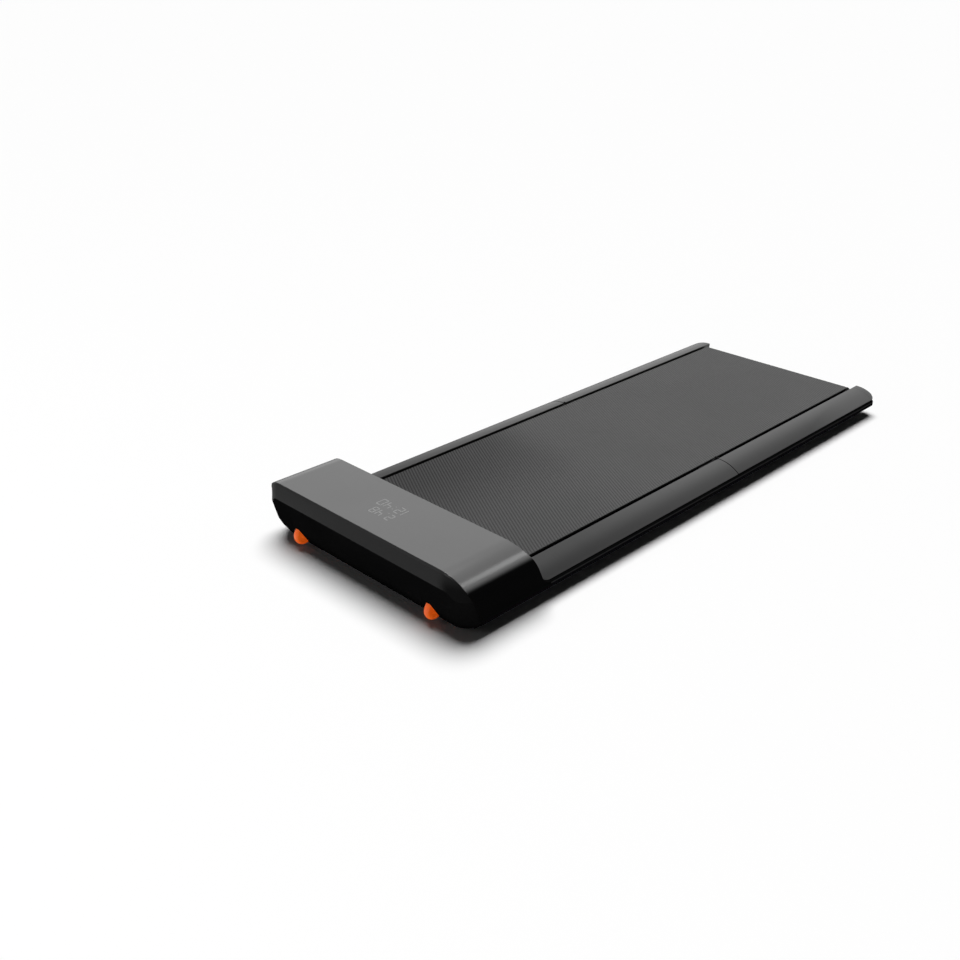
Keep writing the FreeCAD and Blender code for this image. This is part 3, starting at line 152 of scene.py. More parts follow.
def apply_place(piece):
    """Puts the piece's place, turn and scale into its mesh."""
    take(piece)
    bpy.ops.object.transform_apply(location=True, rotation=True, scale=True)


def smooth(piece, steepest=40):
    """Shades a piece smooth across all but its sharp edges."""
    take(piece)
    bpy.ops.object.shade_smooth_by_angle(angle=math.radians(steepest))


def smooth_shell(piece):
    """Shades a shell smooth and keeps its broad faces flat."""
    smooth(piece)
    apply_modifier(piece, "WEIGHTED_NORMAL", mode="FACE_AREA", weight=100, keep_sharp=True)


def copy_of(piece, name):
    """A copy with a mesh of its own."""
    twin = bpy.data.objects.new(name, piece.data.copy())
    scene.collection.objects.link(twin)
    return twin


def open_copy(node, ending):
    """A copy of a solid, open for editing, with each flat face in one piece."""
    piece = copy_of(nodes[node], f"{node}_{ending}")
    open_edit(piece, "VERT")
    select_all()
    bpy.ops.mesh.remove_doubles(threshold=NEAR)
    bpy.ops.mesh.customdata_custom_splitnormals_clear()
    bpy.ops.mesh.dissolve_limited(angle_limit=MERGE_ANGLE)
    return piece


def joined(pieces, name):
    """Several pieces as one."""
    lay_down_tools()
    for piece in pieces:
        piece.select_set(True)
    bpy.context.view_layer.objects.active = pieces[0]
    bpy.ops.object.join()
    pieces[0].name = name
    return pieces[0]


def finish_piece(piece, body, material, slot, *stands_for):
    """Gives a piece its material and its body, and hides the solids it stands for; the slot is not used."""
    piece.data.materials.clear()
    piece.data.materials.append(material)
    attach(piece, body)
    if stands_for:
        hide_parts(*stands_for)


def ease(node, body, material, slot, width, segments=2):
    """Rounds over the sharp edges of a copy of a solid, which stands for it."""
    piece = open_copy(node, "eased")
    close_edit()
    apply_modifier(
        piece,
        "BEVEL",
        width=width,
        segments=segments,
        limit_method="ANGLE",
        angle_limit=ROUNDED_ANGLE,
        use_clamp_overlap=True,
        miter_outer="MITER_ARC",
    )
    smooth_shell(piece)
    finish_piece(piece, body, material, slot, node)


# Camera and studio

WORLD_FILL = 0.015
FLOOR_SIZE = 120.0
FLOOR_Z = -0.2 * MM
FLOOR_WHITE = 0.985


def add_camera():
    """The camera at the photograph's place, with its lens and its slight roll."""
    place = Vector((1.34177, -1.77445, 1.06018))
    azimuth = math.radians(44.280)
    elevation = math.radians(26.392)
    roll = math.radians(0.636)
    back = Vector((
        math.sin(azimuth) * math.cos(elevation),
        -math.cos(azimuth) * math.cos(elevation),
        math.sin(elevation),
    ))
    right = Vector((math.cos(azimuth), math.sin(azimuth), 0.0))
    up = back.cross(right)
    turned_right = right * math.cos(roll) + up * math.sin(roll)
    turned_up = up * math.cos(roll) - right * math.sin(roll)
    turn = Matrix((turned_right, turned_up, back)).transposed()
    data = bpy.data.cameras.new("photo_camera")
    data.lens = 41.41
    data.sensor_width = 36.0
    data.clip_end = 200.0
    camera = bpy.data.objects.new("photo_camera", data)
    camera.matrix_world = Matrix.Translation(place) @ turn.to_4x4()
    scene.collection.objects.link(camera)
    scene.camera = camera


def hang_lamp(data, direction, place=(0.0, 0.0, 0.0)):
    """Hangs a lamp at a place, to shine from that direction."""
    lamp = bpy.data.objects.new(data.name, data)
    lamp.location = place
    lamp.rotation_mode = "QUATERNION"
    lamp.rotation_quaternion = Vector(direction).to_track_quat("Z", "Y")
    scene.collection.objects.link(lamp)
    return lamp


def add_key_lamp():
    """A broad overhead softbox, far off, leaning to the back left."""
    data = bpy.data.lights.new("overhead_softbox", "SUN")
    data.energy = 3.20
    data.angle = math.radians(42)
    hang_lamp(data, direction=(-0.20, 0.17, 0.96))


def add_softbox(name, width, height, energy, direction, target, distance):
    """A rectangular softbox, at a distance from what it is turned to."""
    data = bpy.data.lights.new(name, "AREA")
    data.shape = "RECTANGLE"
    data.size = width
    data.size_y = height
    data.energy = energy
    direction = Vector(direction).normalized()
    return hang_lamp(data, direction, Vector(target) + direction * distance)


def add_strip_lamp():
    """A softbox at the back right, seen only as the shine on the head's right shoulder."""
    lamp = add_softbox(
        "shoulder_strip",
        width=1.0,
        height=0.9,
        energy=10.4,
        direction=(0.53, 0.645, 0.55),
        target=(0.2, -0.64, 0.12),
        distance=4.0,
    )
    lamp.visible_diffuse = False


def add_front_lamp():
    """A low softbox before the nose, for the wheels and the floor in front."""
    add_softbox(
        "front_softbox",
        width=2.0,
        height=0.8,
        energy=3.5,
        direction=(-0.30, -0.82, 0.48),
        target=(0.0, -0.70, 0.04),
        distance=3.5,
    )


def set_world():
    """A white room for the eye and for reflections, and a weak fill for the rest."""
    world = bpy.data.worlds.new("white_room")
    scene.world = world
    world.use_nodes = True
    tree = world.node_tree
    background = tree.nodes["Background"]
    background.inputs["Color"].default_value = (1.0, 1.0, 1.0, 1.0)
    path = tree.nodes.new("ShaderNodeLightPath").outputs
    seen = math_node(tree, "MAXIMUM", path["Is Camera Ray"], path["Is Glossy Ray"])
    clear = math_node(tree, "MAXIMUM", seen, path["Is Transmission Ray"])
    tree.links.new(ramp(tree, clear, 0.0, 1.0, WORLD_FILL, 1.0), background.inputs["Strength"])


def add_floor():
    """A wide white floor."""
    lay_down_tools()
    bpy.ops.mesh.primitive_plane_add(size=FLOOR_SIZE, location=(0.0, 0.0, FLOOR_Z))
    floor = bpy.context.object
    floor.name = "studio_floor"
    apply_place(floor)
    material, tree, shader, _ = new_finish("floor_paper", specular=0.0)
    feed(tree, shader["Base Color"], grey(FLOOR_WHITE))
    shader["Roughness"].default_value = 1.0
    floor.data.materials.append(material)


# Nodes, and the groups that several finishes share

SCUFF_TURN = (0.3, 0.2, 0.9)
SCUFF_SCALE = (16.0, 240.0, 90.0)
SCUFF_LIMITS = (0.66, 0.78)
PIT_SHARE = 0.6
STAIN_SCALE = 38.0
STAIN_LIMITS = (0.42, 0.72)
DUST_SCALE = 60.0
DUST_LIMITS = (0.40, 0.75)


def grey(value):
    """A grey as a colour."""
    return (value, value, value)


def feed(tree, socket, value):
    """Links a socket to another one, or sets it to a number or a colour."""
    if isinstance(value, tuple):
        socket.default_value = (*value, 1.0)
    elif isinstance(value, (int, float)):
        socket.default_value = value
    else:
        tree.links.new(value, socket)


def new_group(name, vectors, numbers, outputs):
    """An empty shader group with its named sockets."""
    group = bpy.data.node_groups.new(name, "ShaderNodeTree")
    for label in vectors:
        group.interface.new_socket(name=label, in_out="INPUT", socket_type="NodeSocketVector")
    for label in numbers:
        group.interface.new_socket(name=label, in_out="INPUT", socket_type="NodeSocketFloat")
    for label in outputs:
        group.interface.new_socket(name=label, in_out="OUTPUT", socket_type="NodeSocketFloat")
    start = group.nodes.new("NodeGroupInput").outputs
    return group, start, group.nodes.new("NodeGroupOutput").inputs


def noise(tree, vector, scale, detail, roughness=0.5):
    """A noise node on a vector; the scale is a number or a socket."""
    node = tree.nodes.new("ShaderNodeTexNoise")
    tree.links.new(vector, node.inputs["Vector"])
    feed(tree, node.inputs["Scale"], scale)
    node.inputs["Detail"].default_value = detail
    node.inputs["Roughness"].default_value = roughness
    return node.outputs["Fac"]


def math_node(tree, kind, first, second):
    """A math node on two sockets or numbers."""
    node = tree.nodes.new("ShaderNodeMath")
    node.operation = kind
    feed(tree, node.inputs[0], first)
    feed(tree, node.inputs[1], second)
    return node.outputs[0]


def product(tree, first, *others):
    """The product of sockets or numbers."""
    for other in others:
        first = math_node(tree, "MULTIPLY", first, other)
    return first


def ramp(tree, value, low, high, to_low=0.0, to_high=1.0):
    """Maps a value from one range to another, smoothly, and clamps it."""
    node = tree.nodes.new("ShaderNodeMapRange")
    node.interpolation_type = "SMOOTHSTEP"
    tree.links.new(value, node.inputs["Value"])
    for label, limit in (("From Min", low), ("From Max", high), ("To Min", to_low), ("To Max", to_high)):
        feed(tree, node.inputs[label], limit)
    return node.outputs["Result"]


def along(tree, place, axis):
    """One coordinate of a place."""
    split = tree.nodes.new("ShaderNodeSeparateXYZ")
    tree.links.new(place, split.inputs[0])
    return split.outputs[axis]


def blend_colours(tree, share, first, second):
    """Mixes two colours by a share; each is a socket or a tuple."""
    node = tree.nodes.new("ShaderNodeMix")
    node.data_type = "RGBA"
    tree.links.new(share, node.inputs["Factor"])
    for label, colour in (("A", first), ("B", second)):
        socket = [entry for entry in node.inputs if entry.name == label and entry.type == "RGBA"][0]
        feed(tree, socket, colour)
    return [entry for entry in node.outputs if entry.type == "RGBA"][0]


def make_moulded_grain():
    """Fine spark-eroded grain, with slow cloudy variation and faint scuffs."""
    group, start, end = new_group(
        "moulded_grain", ["Vector"], ["Grain Scale", "Cloud Scale"], outputs=["Height", "Cloud", "Scuff"],
    )
    fine = noise(group, start["Vector"], start["Grain Scale"], detail=3.0, roughness=0.6)
    pits = group.nodes.new("ShaderNodeTexVoronoi")
    group.links.new(start["Vector"], pits.inputs["Vector"])
    group.links.new(product(group, start["Grain Scale"], PIT_SHARE), pits.inputs["Scale"])
    group.links.new(math_node(group, "ADD", fine, pits.outputs["Distance"]), end["Height"])
    cloud = noise(group, start["Vector"], start["Cloud Scale"], detail=4.0, roughness=0.55)
    group.links.new(cloud, end["Cloud"])
    stretch = group.nodes.new("ShaderNodeMapping")
    group.links.new(start["Vector"], stretch.inputs["Vector"])
    stretch.inputs["Rotation"].default_value = SCUFF_TURN
    stretch.inputs["Scale"].default_value = SCUFF_SCALE
    streaks = noise(group, stretch.outputs["Vector"], 1.0, detail=2.0)
    group.links.new(ramp(group, streaks, *SCUFF_LIMITS), end["Scuff"])
    return group


def make_machined_lines():
    """Fine lines left by a tool, running along one axis, with slow staining."""
    group, start, end = new_group(
        "machined_lines", ["Vector", "Line Scale"], [], outputs=["Height", "Stain"],
    )
    stretch = group.nodes.new("ShaderNodeVectorMath")
    stretch.operation = "MULTIPLY"
    group.links.new(start["Vector"], stretch.inputs[0])
    group.links.new(start["Line Scale"], stretch.inputs[1])
    group.links.new(noise(group, stretch.outputs[0], 1.0, detail=4.0, roughness=0.6), end["Height"])
    patches = noise(group, start["Vector"], STAIN_SCALE, detail=5.0, roughness=0.6)
    group.links.new(ramp(group, patches, *STAIN_LIMITS), end["Stain"])
    return group


def make_settled_dust():
    """Dust that thins out with height above the floor."""
    group, start, end = new_group("settled_dust", ["Vector"], ["Low", "High"], outputs=["Dust"])
    near_floor = ramp(group, along(group, start["Vector"], "Z"), start["Low"], start["High"], 1.0, 0.0)
    patches = noise(group, start["Vector"], DUST_SCALE, detail=6.0, roughness=0.65)
    group.links.new(product(group, near_floor, ramp(group, patches, *DUST_LIMITS)), end["Dust"])
    return group


moulded_grain = make_moulded_grain()
machined_lines = make_machined_lines()
settled_dust = make_settled_dust()


# Finishes: what they share

CLOUD_TONES = (0.3, 0.7)
CLOUD_SPAN = (0.2, 0.8)


def new_finish(name, specular, metallic=0.0):
    """A material, its tree, its shader's sockets with plain values set, and the Object coordinates."""
    material = bpy.data.materials.new(name)
    material.use_nodes = True
    tree = material.node_tree
    shader = tree.nodes["Principled BSDF"].inputs
    shader["Metallic"].default_value = metallic
    shader["Specular IOR Level"].default_value = specular
    return material, tree, shader, tree.nodes.new("ShaderNodeTexCoord").outputs["Object"]


def place_group(tree, group, place, **values):
    """One group in a material, fed with the place and its own values."""
    node = tree.nodes.new("ShaderNodeGroup")
    node.node_tree = group
    tree.links.new(place, node.inputs["Vector"])
    for label, value in values.items():
        node.inputs[label.replace("_", " ")].default_value = value
    return node.outputs


def grained(tree, place, fine, cloud):
    """The moulded grain, with the scales of its fine pits and of its clouds."""
    return place_group(tree, moulded_grain, place, Grain_Scale=fine, Cloud_Scale=cloud)


def cloudy(tree, grain, colour, paler):
    """Two tones that drift into each other."""
    return blend_colours(tree, ramp(tree, grain["Cloud"], *CLOUD_TONES), colour, paler)


def cloudy_roughness(tree, shader, grain, least, most):
    """A roughness that drifts between two values."""
    feed(tree, shader["Roughness"], ramp(tree, grain["Cloud"], *CLOUD_SPAN, least, most))


def bump(tree, shader, height, strength, distance=0.2 * MM):
    """Feeds a height to the shader's normal."""
    node = tree.nodes.new("ShaderNodeBump")
    node.inputs["Strength"].default_value = strength
    node.inputs["Distance"].default_value = distance
    tree.links.new(height, node.inputs["Height"])
    feed(tree, shader["Normal"], node.outputs["Normal"])


def outward_fade(tree, place, inner, outer, least):
    """One in the middle of the pad, falling to the least value between two distances to the side."""
    outward = math_node(tree, "ABSOLUTE", along(tree, place, "X"), 0.0)
    return ramp(tree, outward, inner, outer, 1.0, least)


def height_step(tree, place, low, high):
    """Nought below one height and one above the other."""
    return ramp(tree, along(tree, place, "Z"), low, high)


def silhouette_fade(tree, start, end):
    """One where the surface faces the eye, falling to nought where it turns away; used to paint shade at the
    outline.
    """
    weight = tree.nodes.new("ShaderNodeLayerWeight")
    weight.inputs["Blend"].default_value = 0.5
    return ramp(tree, weight.outputs["Facing"], start, end, 1.0, 0.0)


# Finishes of the shells

# Painted shade: the black that stands for shade on the shells' sides, at their outlines and in their gaps
PAINTED_SHADE_BLACK = (0.0040, 0.0040, 0.0041)
OUTLINE_PAINTED_SHADE = (0.90, 1.0)
SCUFFED_GLOSS = 0.86
# Painted shadow in the rail's wall beside the belt and along the seam at the fold
RAIL_WALL_X = (0.2160, 0.2164)
FOLD_SEAM = (0.8 * MM, 1.6 * MM)
# Painted sheen on the rails, weaker at the front, and painted light reaching down their sides at the rear
PAINTED_SHEEN_Y = (-0.52, 0.10)
PAINTED_SHEEN_LEAST = 0.42
PAINTED_LIGHT_REAR_Y = (0.15, 0.62)

SCUFF_SHARE = 0.25
SCUFF_TONE = (0.010, 0.010, 0.0105)
DUST_SHARE = 0.012
DUST_TONE = (0.16, 0.155, 0.15)

# Painted light on the nose's upper band: a paler tone and a painted sheen, shaded off to the right and at
# the left end
BAND_CORNERS = (0.224, 0.262)
BAND_EDGE_Z = (0.0805, 0.0955)
BAND_EDGE_SOFT = 0.3 * MM
BAND_SHADE_RIGHT_X = (0.208, 0.240)
BAND_SHADE_RIGHT_Z = (0.100, 0.124)
BAND_SHADE_RIGHT_LEAST = (0.15, 0.70)
BAND_SHADE_LEFT_X = (-0.265, -0.235)
BAND_SHADE_LEFT_LEAST = 0.55
BAND_PAINTED_LIGHT = (0.0060, 0.0060, 0.0061)
BAND_PAINTED_SHEEN = 0.32

PAN_FLAT_Z = (10.2 * MM, 11.0 * MM)
# Heights and tone of a painted highlight along the pans' bend below the rails
PAN_BEND_LOW_Z = (34.6 * MM, 35.0 * MM)
PAN_BEND_HIGH_Z = (36.2 * MM, 36.6 * MM)
PAN_BEND_PAINTED_HIGHLIGHT = grey(0.034)
PAN_FLAT_TONE = grey(0.085)
PAN_FLAT_COAT = 0.8


def shadow_gaps(tree, place):
    """Painted shadow: nought in the wall to the right of the belt and along the seam at the fold, and one
    elsewhere.
    """
    across = along(tree, place, "X")
    left = ramp(tree, across, -NEAR, NEAR, 1.0, 0.0)
    beside_belt = math_node(tree, "MAXIMUM", left, ramp(tree, across, *RAIL_WALL_X))
    behind_fold = math_node(tree, "SUBTRACT", along(tree, place, "Y"), FOLD.y)
    from_fold = math_node(tree, "ABSOLUTE", behind_fold, 0.0)
    return product(tree, beside_belt, ramp(tree, from_fold, *FOLD_SEAM))


def painted_light_satin(name, colour, paler, shaded_side_colour, fade, gloss, coat_roughness, rim, is_rail):
    """Satin paint with a soft clear coat, with painted shade: colour and coat give way to a dark side colour
    towards the sides, and to black at the outline.

    On a rail a painted sheen grows up to the fold, and towards the rear painted light reaches down the side.
    """
    material, tree, shader, place = new_finish(name, specular=0.0)
    shader["Coat Roughness"].default_value = coat_roughness
    grain = grained(tree, place, fine=2200.0, cloud=5.0)
    paint = cloudy(tree, grain, colour, paler)
    coat = ramp(tree, grain["Scuff"], 0.0, 1.0, gloss, SCUFFED_GLOSS * gloss)
    # Painted shade: the top's tone and coat give way to the dark side colour towards the sides
    painted_top_light = outward_fade(tree, place, *fade)
    # Painted light: on a rail the top's tone and coat reach down the side towards the rear
    if is_rail:
        back = along(tree, place, "Y")
        painted_top_light = math_node(tree, "MAXIMUM", painted_top_light, ramp(tree, back, *PAINTED_LIGHT_REAR_Y))
    tone = blend_colours(tree, painted_top_light, shaded_side_colour, paint)
    # Painted shade: black at the outline, where the coat is also taken off
    lit = silhouette_fade(tree, *OUTLINE_PAINTED_SHADE)
    coat = product(tree, coat, painted_top_light, silhouette_fade(tree, *rim))
    if is_rail:
        # Painted shadow in the wall beside the belt and along the seam at the fold
        gaps = shadow_gaps(tree, place)
        lit = product(tree, lit, gaps)
        # Painted sheen, weaker towards the front of the rail
        coat = product(tree, coat, gaps, ramp(tree, back, *PAINTED_SHEEN_Y, PAINTED_SHEEN_LEAST, 1.0))
    feed(tree, shader["Base Color"], blend_colours(tree, lit, PAINTED_SHADE_BLACK, tone))
    feed(tree, shader["Coat Weight"], coat)
    cloudy_roughness(tree, shader, grain, 0.50, 0.60)
    bump(tree, shader, grain["Height"], strength=0.10, distance=0.1 * MM)
    return material


def black_moulding(name, colour, paler, specular, grain_scale, strength):
    """Black moulded plastic with a fine grain, faint scuffs and dust low down."""
    material, tree, shader, place = new_finish(name, specular)
    grain = grained(tree, place, fine=grain_scale, cloud=7.0)
    dust = place_group(tree, settled_dust, place, Low=4.0 * MM, High=35.0 * MM)
    tone = cloudy(tree, grain, colour, paler)
    scuffed = blend_colours(tree, product(tree, grain["Scuff"], SCUFF_SHARE), tone, SCUFF_TONE)
    paint = blend_colours(tree, product(tree, dust["Dust"], DUST_SHARE), scuffed, DUST_TONE)
    feed(tree, shader["Base Color"], paint)
    cloudy_roughness(tree, shader, grain, 0.48, 0.64)
    bump(tree, shader, grain["Height"], strength)
    return material, tree, shader, place, paint


def nose_finish():
    """The nose: a matt black belly, and above it a satin band of painted light, paler and glossier, fading
    with painted shade to its corners, to the right and at the left end.
    """
    material, tree, shader, place, paint = black_moulding(
        "nose_black_painted_band", (0.0046, 0.0046, 0.0047), paler=(0.0062, 0.0062, 0.0063),
        specular=0.0, grain_scale=1000.0, strength=0.12,
    )
    shader["Coat Roughness"].default_value = 0.40
    across, height = along(tree, place, "X"), along(tree, place, "Z")
    # Painted light on the band above its edge, which drops towards the corners
    edge = ramp(tree, outward_fade(tree, place, *BAND_CORNERS, 0.0), 0.0, 1.0, *BAND_EDGE_Z)
    above = math_node(tree, "SUBTRACT", height, edge)
    band = ramp(tree, above, -BAND_EDGE_SOFT, BAND_EDGE_SOFT)
    # Painted shade: the band's light fades to the right, more so low down, and at the left end
    right_least = ramp(tree, height, *BAND_SHADE_RIGHT_Z, *BAND_SHADE_RIGHT_LEAST)
    to_right = ramp(tree, across, *BAND_SHADE_RIGHT_X, 1.0, right_least)
    to_left = ramp(tree, across, *BAND_SHADE_LEFT_X, BAND_SHADE_LEFT_LEAST, 1.0)
    band = product(tree, band, to_right, to_left)
    feed(tree, shader["Base Color"], blend_colours(tree, band, paint, BAND_PAINTED_LIGHT))
    feed(tree, shader["Coat Weight"], product(tree, band, BAND_PAINTED_SHEEN))
    return material


def pan_finish():
    """The belly pans: black sides with a painted highlight along the bend below the rails, and a satin
    charcoal underside.
    """
    material, tree, shader, place, paint = black_moulding(
        "pan_black_painted_highlight", (0.0034, 0.0034, 0.0035), paler=(0.0048, 0.0048, 0.0049),
        specular=0.0, grain_scale=700.0, strength=0.2,
    )
    shader["Coat Roughness"].default_value = 0.36
    flat = math_node(tree, "SUBTRACT", 1.0, height_step(tree, place, *PAN_FLAT_Z))
    # Painted highlight: a paler line along the bend below the rails
    above_low = height_step(tree, place, *PAN_BEND_LOW_Z)
    bend = math_node(tree, "SUBTRACT", above_low, height_step(tree, place, *PAN_BEND_HIGH_Z))
    scuffs_and_painted_highlight = blend_colours(tree, bend, paint, PAN_BEND_PAINTED_HIGHLIGHT)
    feed(tree, shader["Base Color"], blend_colours(tree, flat, scuffs_and_painted_highlight, PAN_FLAT_TONE))
    feed(tree, shader["Coat Weight"], product(tree, flat, PAN_FLAT_COAT))
    return material


# Finishes of the belt, the feet and the wheels

# Painted shade in the belt's grooves, less dark towards the rear
GROOVE_SHADE_Y = (-0.45, 0.10)
GROOVE_PAINTED_SHADE = (0.002, 0.030)
# A painted shadow of the head on the front of the belt
HEAD_SHADOW_Y = (-0.56, -0.05)
HEAD_SHADOW_MOST = 0.50
HEAD_SHADOW_TONE = grey(0.010)
# Painted shade: less sheen on the belt's front left
FRONT_LEFT_SHADE_X = (-0.20, 0.10)
FRONT_LEFT_SHADE_Y = (-0.20, -0.04)
FRONT_LEFT_SHADE_MOST = 0.46
TREAD_POLISH = 0.62
GROOVE_ROUGHNESS = 0.85
RIDGE_ROUGHNESS = 0.60
SOLE_Z = (0.8 * MM, 1.6 * MM)
SOLE_DUST_SHARE = 0.1
SOLE_DUST_TONE = (0.14, 0.13, 0.12)
WHEEL_SCUFF_SHARE = 0.3
WHEEL_SCUFF_TONE = (0.55, 0.07, 0.008)


def tread_finish():
    """Dark tread rubber with a fine grain, darker at the front with a painted shadow of the head, and duller
    at the front left where painted shade takes off the sheen.

    The grooves are painted darker than the ridges as painted shade, less so towards the rear.
    """
    material, tree, shader, place = new_finish("tread_rubber", specular=0.0)
    shader["Coat Roughness"].default_value = 0.55
    grain = grained(tree, place, fine=1300.0, cloud=6.0)
    attribute = tree.nodes.new("ShaderNodeAttribute")
    attribute.attribute_name = "ridge"
    ridge = attribute.outputs["Fac"]
    across, back = along(tree, place, "X"), along(tree, place, "Y")
    ridge_and_sole_tone = cloudy(tree, grain, grey(0.050), grey(0.057))
    # Painted shade: the grooves darker than the ridges
    tone = blend_colours(tree, ridge, ramp(tree, back, *GROOVE_SHADE_Y, *GROOVE_PAINTED_SHADE), ridge_and_sole_tone)
    # Painted shadow of the head, darkening the front of the belt
    painted_head_shadow = ramp(tree, back, *HEAD_SHADOW_Y, HEAD_SHADOW_MOST, 0.0)
    feed(tree, shader["Base Color"], blend_colours(tree, painted_head_shadow, tone, HEAD_SHADOW_TONE))
    # Painted shade: the sheen taken off towards the front left
    at_left = ramp(tree, across, *FRONT_LEFT_SHADE_X, FRONT_LEFT_SHADE_MOST, 0.0)
    painted_sheen_shade = product(tree, at_left, ramp(tree, back, *FRONT_LEFT_SHADE_Y, 1.0, 0.0))
    gloss_and_painted_shade = product(tree, math_node(tree, "SUBTRACT", 1.0, painted_sheen_shade), TREAD_POLISH)
    feed(tree, shader["Coat Weight"], gloss_and_painted_shade)
    roughness = ramp(tree, ridge, 0.0, 1.0, GROOVE_ROUGHNESS, RIDGE_ROUGHNESS)
    feed(tree, shader["Roughness"], roughness)
    bump(tree, shader, grain["Height"], strength=0.25)
    return material


def soft_rubber_finish(name, colour, paler, sole):
    """Matt rubber with fine pits, of another tone at the sole and dusty there."""
    material, tree, shader, place = new_finish(name, specular=0.25)
    grain = grained(tree, place, fine=700.0, cloud=30.0)
    dust = place_group(tree, settled_dust, place, Low=0.0, High=6.0 * MM)
    tone = blend_colours(tree, grain["Cloud"], colour, paler)
    ridge_and_sole_tone = blend_colours(tree, height_step(tree, place, *SOLE_Z), sole, tone)
    film = product(tree, dust["Dust"], SOLE_DUST_SHARE)
    feed(tree, shader["Base Color"], blend_colours(tree, film, ridge_and_sole_tone, SOLE_DUST_TONE))
    cloudy_roughness(tree, shader, grain, 0.72, 0.92)
    bump(tree, shader, grain["Height"], strength=0.3, distance=0.3 * MM)
    return material


def wheel_finish():
    """Orange wheel moulding: free of dirt, a little glossy and slightly scuffed, with painted light: an
    emission seen only by the camera makes it brighter, though it is no lamp.
    """
    material, tree, shader, place = new_finish("wheel_orange", specular=0.45)
    grain = grained(tree, place, fine=1200.0, cloud=45.0)
    tone = cloudy(tree, grain, (0.84, 0.105, 0.006), (0.90, 0.135, 0.010))
    scuffs_and_painted_highlight = blend_colours(tree, product(tree, grain["Scuff"], WHEEL_SCUFF_SHARE), tone, WHEEL_SCUFF_TONE)
    feed(tree, shader["Base Color"], scuffs_and_painted_highlight)
    # Painted light: the wheel glows to the camera only, though it is no lamp
    path = tree.nodes.new("ShaderNodeLightPath")
    painted_glow = blend_colours(tree, path.outputs["Is Camera Ray"], grey(0.0), scuffs_and_painted_highlight)
    feed(tree, shader["Emission Color"], painted_glow)
    shader["Emission Strength"].default_value = 0.40
    cloudy_roughness(tree, shader, grain, 0.30, 0.44)
    bump(tree, shader, grain["Height"], strength=0.08)
    return material


# Finishes of the parts inside, and of the display

LINE_SPAN = (0.3, 0.7)
LINE_SMOOTHER = 0.06
LINE_ROUGHER = 0.10
FIBRE_SCALE = (300.0, 24.0, 300.0)
FIBRE_TONES = (0.35, 0.65)
FIBRE_STAIN = (0.0030, 0.0027, 0.0026)
FIBRE_ROUGHNESS = (0.6, 0.8)


def metal_finish(name, colour, stained, roughness, line_scale, strength):
    """Bare metal with tool lines and a little staining."""
    material, tree, shader, place = new_finish(name, specular=0.5, metallic=1.0)
    lines = place_group(tree, machined_lines, place, Line_Scale=line_scale)
    feed(tree, shader["Base Color"], blend_colours(tree, lines["Stain"], colour, stained))
    limits = roughness - LINE_SMOOTHER, roughness + LINE_ROUGHER
    uneven = ramp(tree, lines["Height"], *LINE_SPAN, *limits)
    feed(tree, shader["Roughness"], uneven)
    bump(tree, shader, lines["Height"], strength)
    return material


def coated_steel_finish(name, colour, paler, specular):
    """Steel with a lumpy powder coat."""
    material, tree, shader, place = new_finish(name, specular)
    grain = grained(tree, place, fine=420.0, cloud=14.0)
    feed(tree, shader["Base Color"], blend_colours(tree, grain["Cloud"], colour, paler))
    cloudy_roughness(tree, shader, grain, 0.42, 0.6)
    bump(tree, shader, grain["Height"], strength=0.35, distance=0.4 * MM)
    return material


def deck_finish():
    """Fibre board with a thin dark film, its fibres showing."""
    material, tree, shader, place = new_finish("deck_board", specular=0.0)
    lines = place_group(tree, machined_lines, place, Line_Scale=FIBRE_SCALE)
    fibres = ramp(tree, lines["Height"], *FIBRE_TONES)
    tone = blend_colours(tree, fibres, grey(0.0020), grey(0.0040))
    feed(tree, shader["Base Color"], blend_colours(tree, lines["Stain"], tone, FIBRE_STAIN))
    feed(tree, shader["Roughness"], ramp(tree, lines["Height"], *LINE_SPAN, *FIBRE_ROUGHNESS))
    bump(tree, shader, lines["Height"], strength=0.2, distance=0.3 * MM)
    return material


def circuit_finish():
    """Green board lacquer with a faint pattern of tracks."""
    material, tree, shader, place = new_finish("circuit_board", specular=0.5)
    tracks = tree.nodes.new("ShaderNodeTexBrick")
    tree.links.new(place, tracks.inputs["Vector"])
    tracks.inputs["Scale"].default_value = 140.0
    tracks.inputs["Color1"].default_value = (0.010, 0.075, 0.030, 1.0)
    tracks.inputs["Color2"].default_value = (0.014, 0.095, 0.038, 1.0)
    tracks.inputs["Mortar"].default_value = (0.030, 0.16, 0.070, 1.0)
    tracks.inputs["Mortar Size"].default_value = 0.03
    feed(tree, shader["Base Color"], tracks.outputs["Color"])
    grain = grained(tree, place, fine=800.0, cloud=30.0)
    cloudy_roughness(tree, shader, grain, 0.28, 0.45)
    bump(tree, shader, tracks.outputs["Fac"], strength=0.2, distance=0.1 * MM)
    return material


def diffuser_finish():
    """Frosted white plastic."""
    material, tree, shader, place = new_finish("diffuser", specular=0.4)
    grain = grained(tree, place, fine=1500.0, cloud=20.0)
    tone = blend_colours(tree, grain["Cloud"], (0.62, 0.63, 0.64), (0.74, 0.75, 0.76))
    feed(tree, shader["Base Color"], tone)
    cloudy_roughness(tree, shader, grain, 0.45, 0.6)
    bump(tree, shader, grain["Height"], strength=0.2)
    return material


def digit_finish():
    """The display's digits, glowing faintly through the cover."""
    material, tree, shader, place = new_finish("lit_digits", specular=0.1)
    grain = grained(tree, place, fine=1500.0, cloud=120.0)
    tone = blend_colours(tree, grain["Cloud"], grey(0.17), grey(0.23))
    feed(tree, shader["Base Color"], tone)
    feed(tree, shader["Emission Color"], tone)
    shader["Emission Strength"].default_value = 0.45
    cloudy_roughness(tree, shader, grain, 0.45, 0.55)
    return material


# The finishes, and the slots of the solids that take them

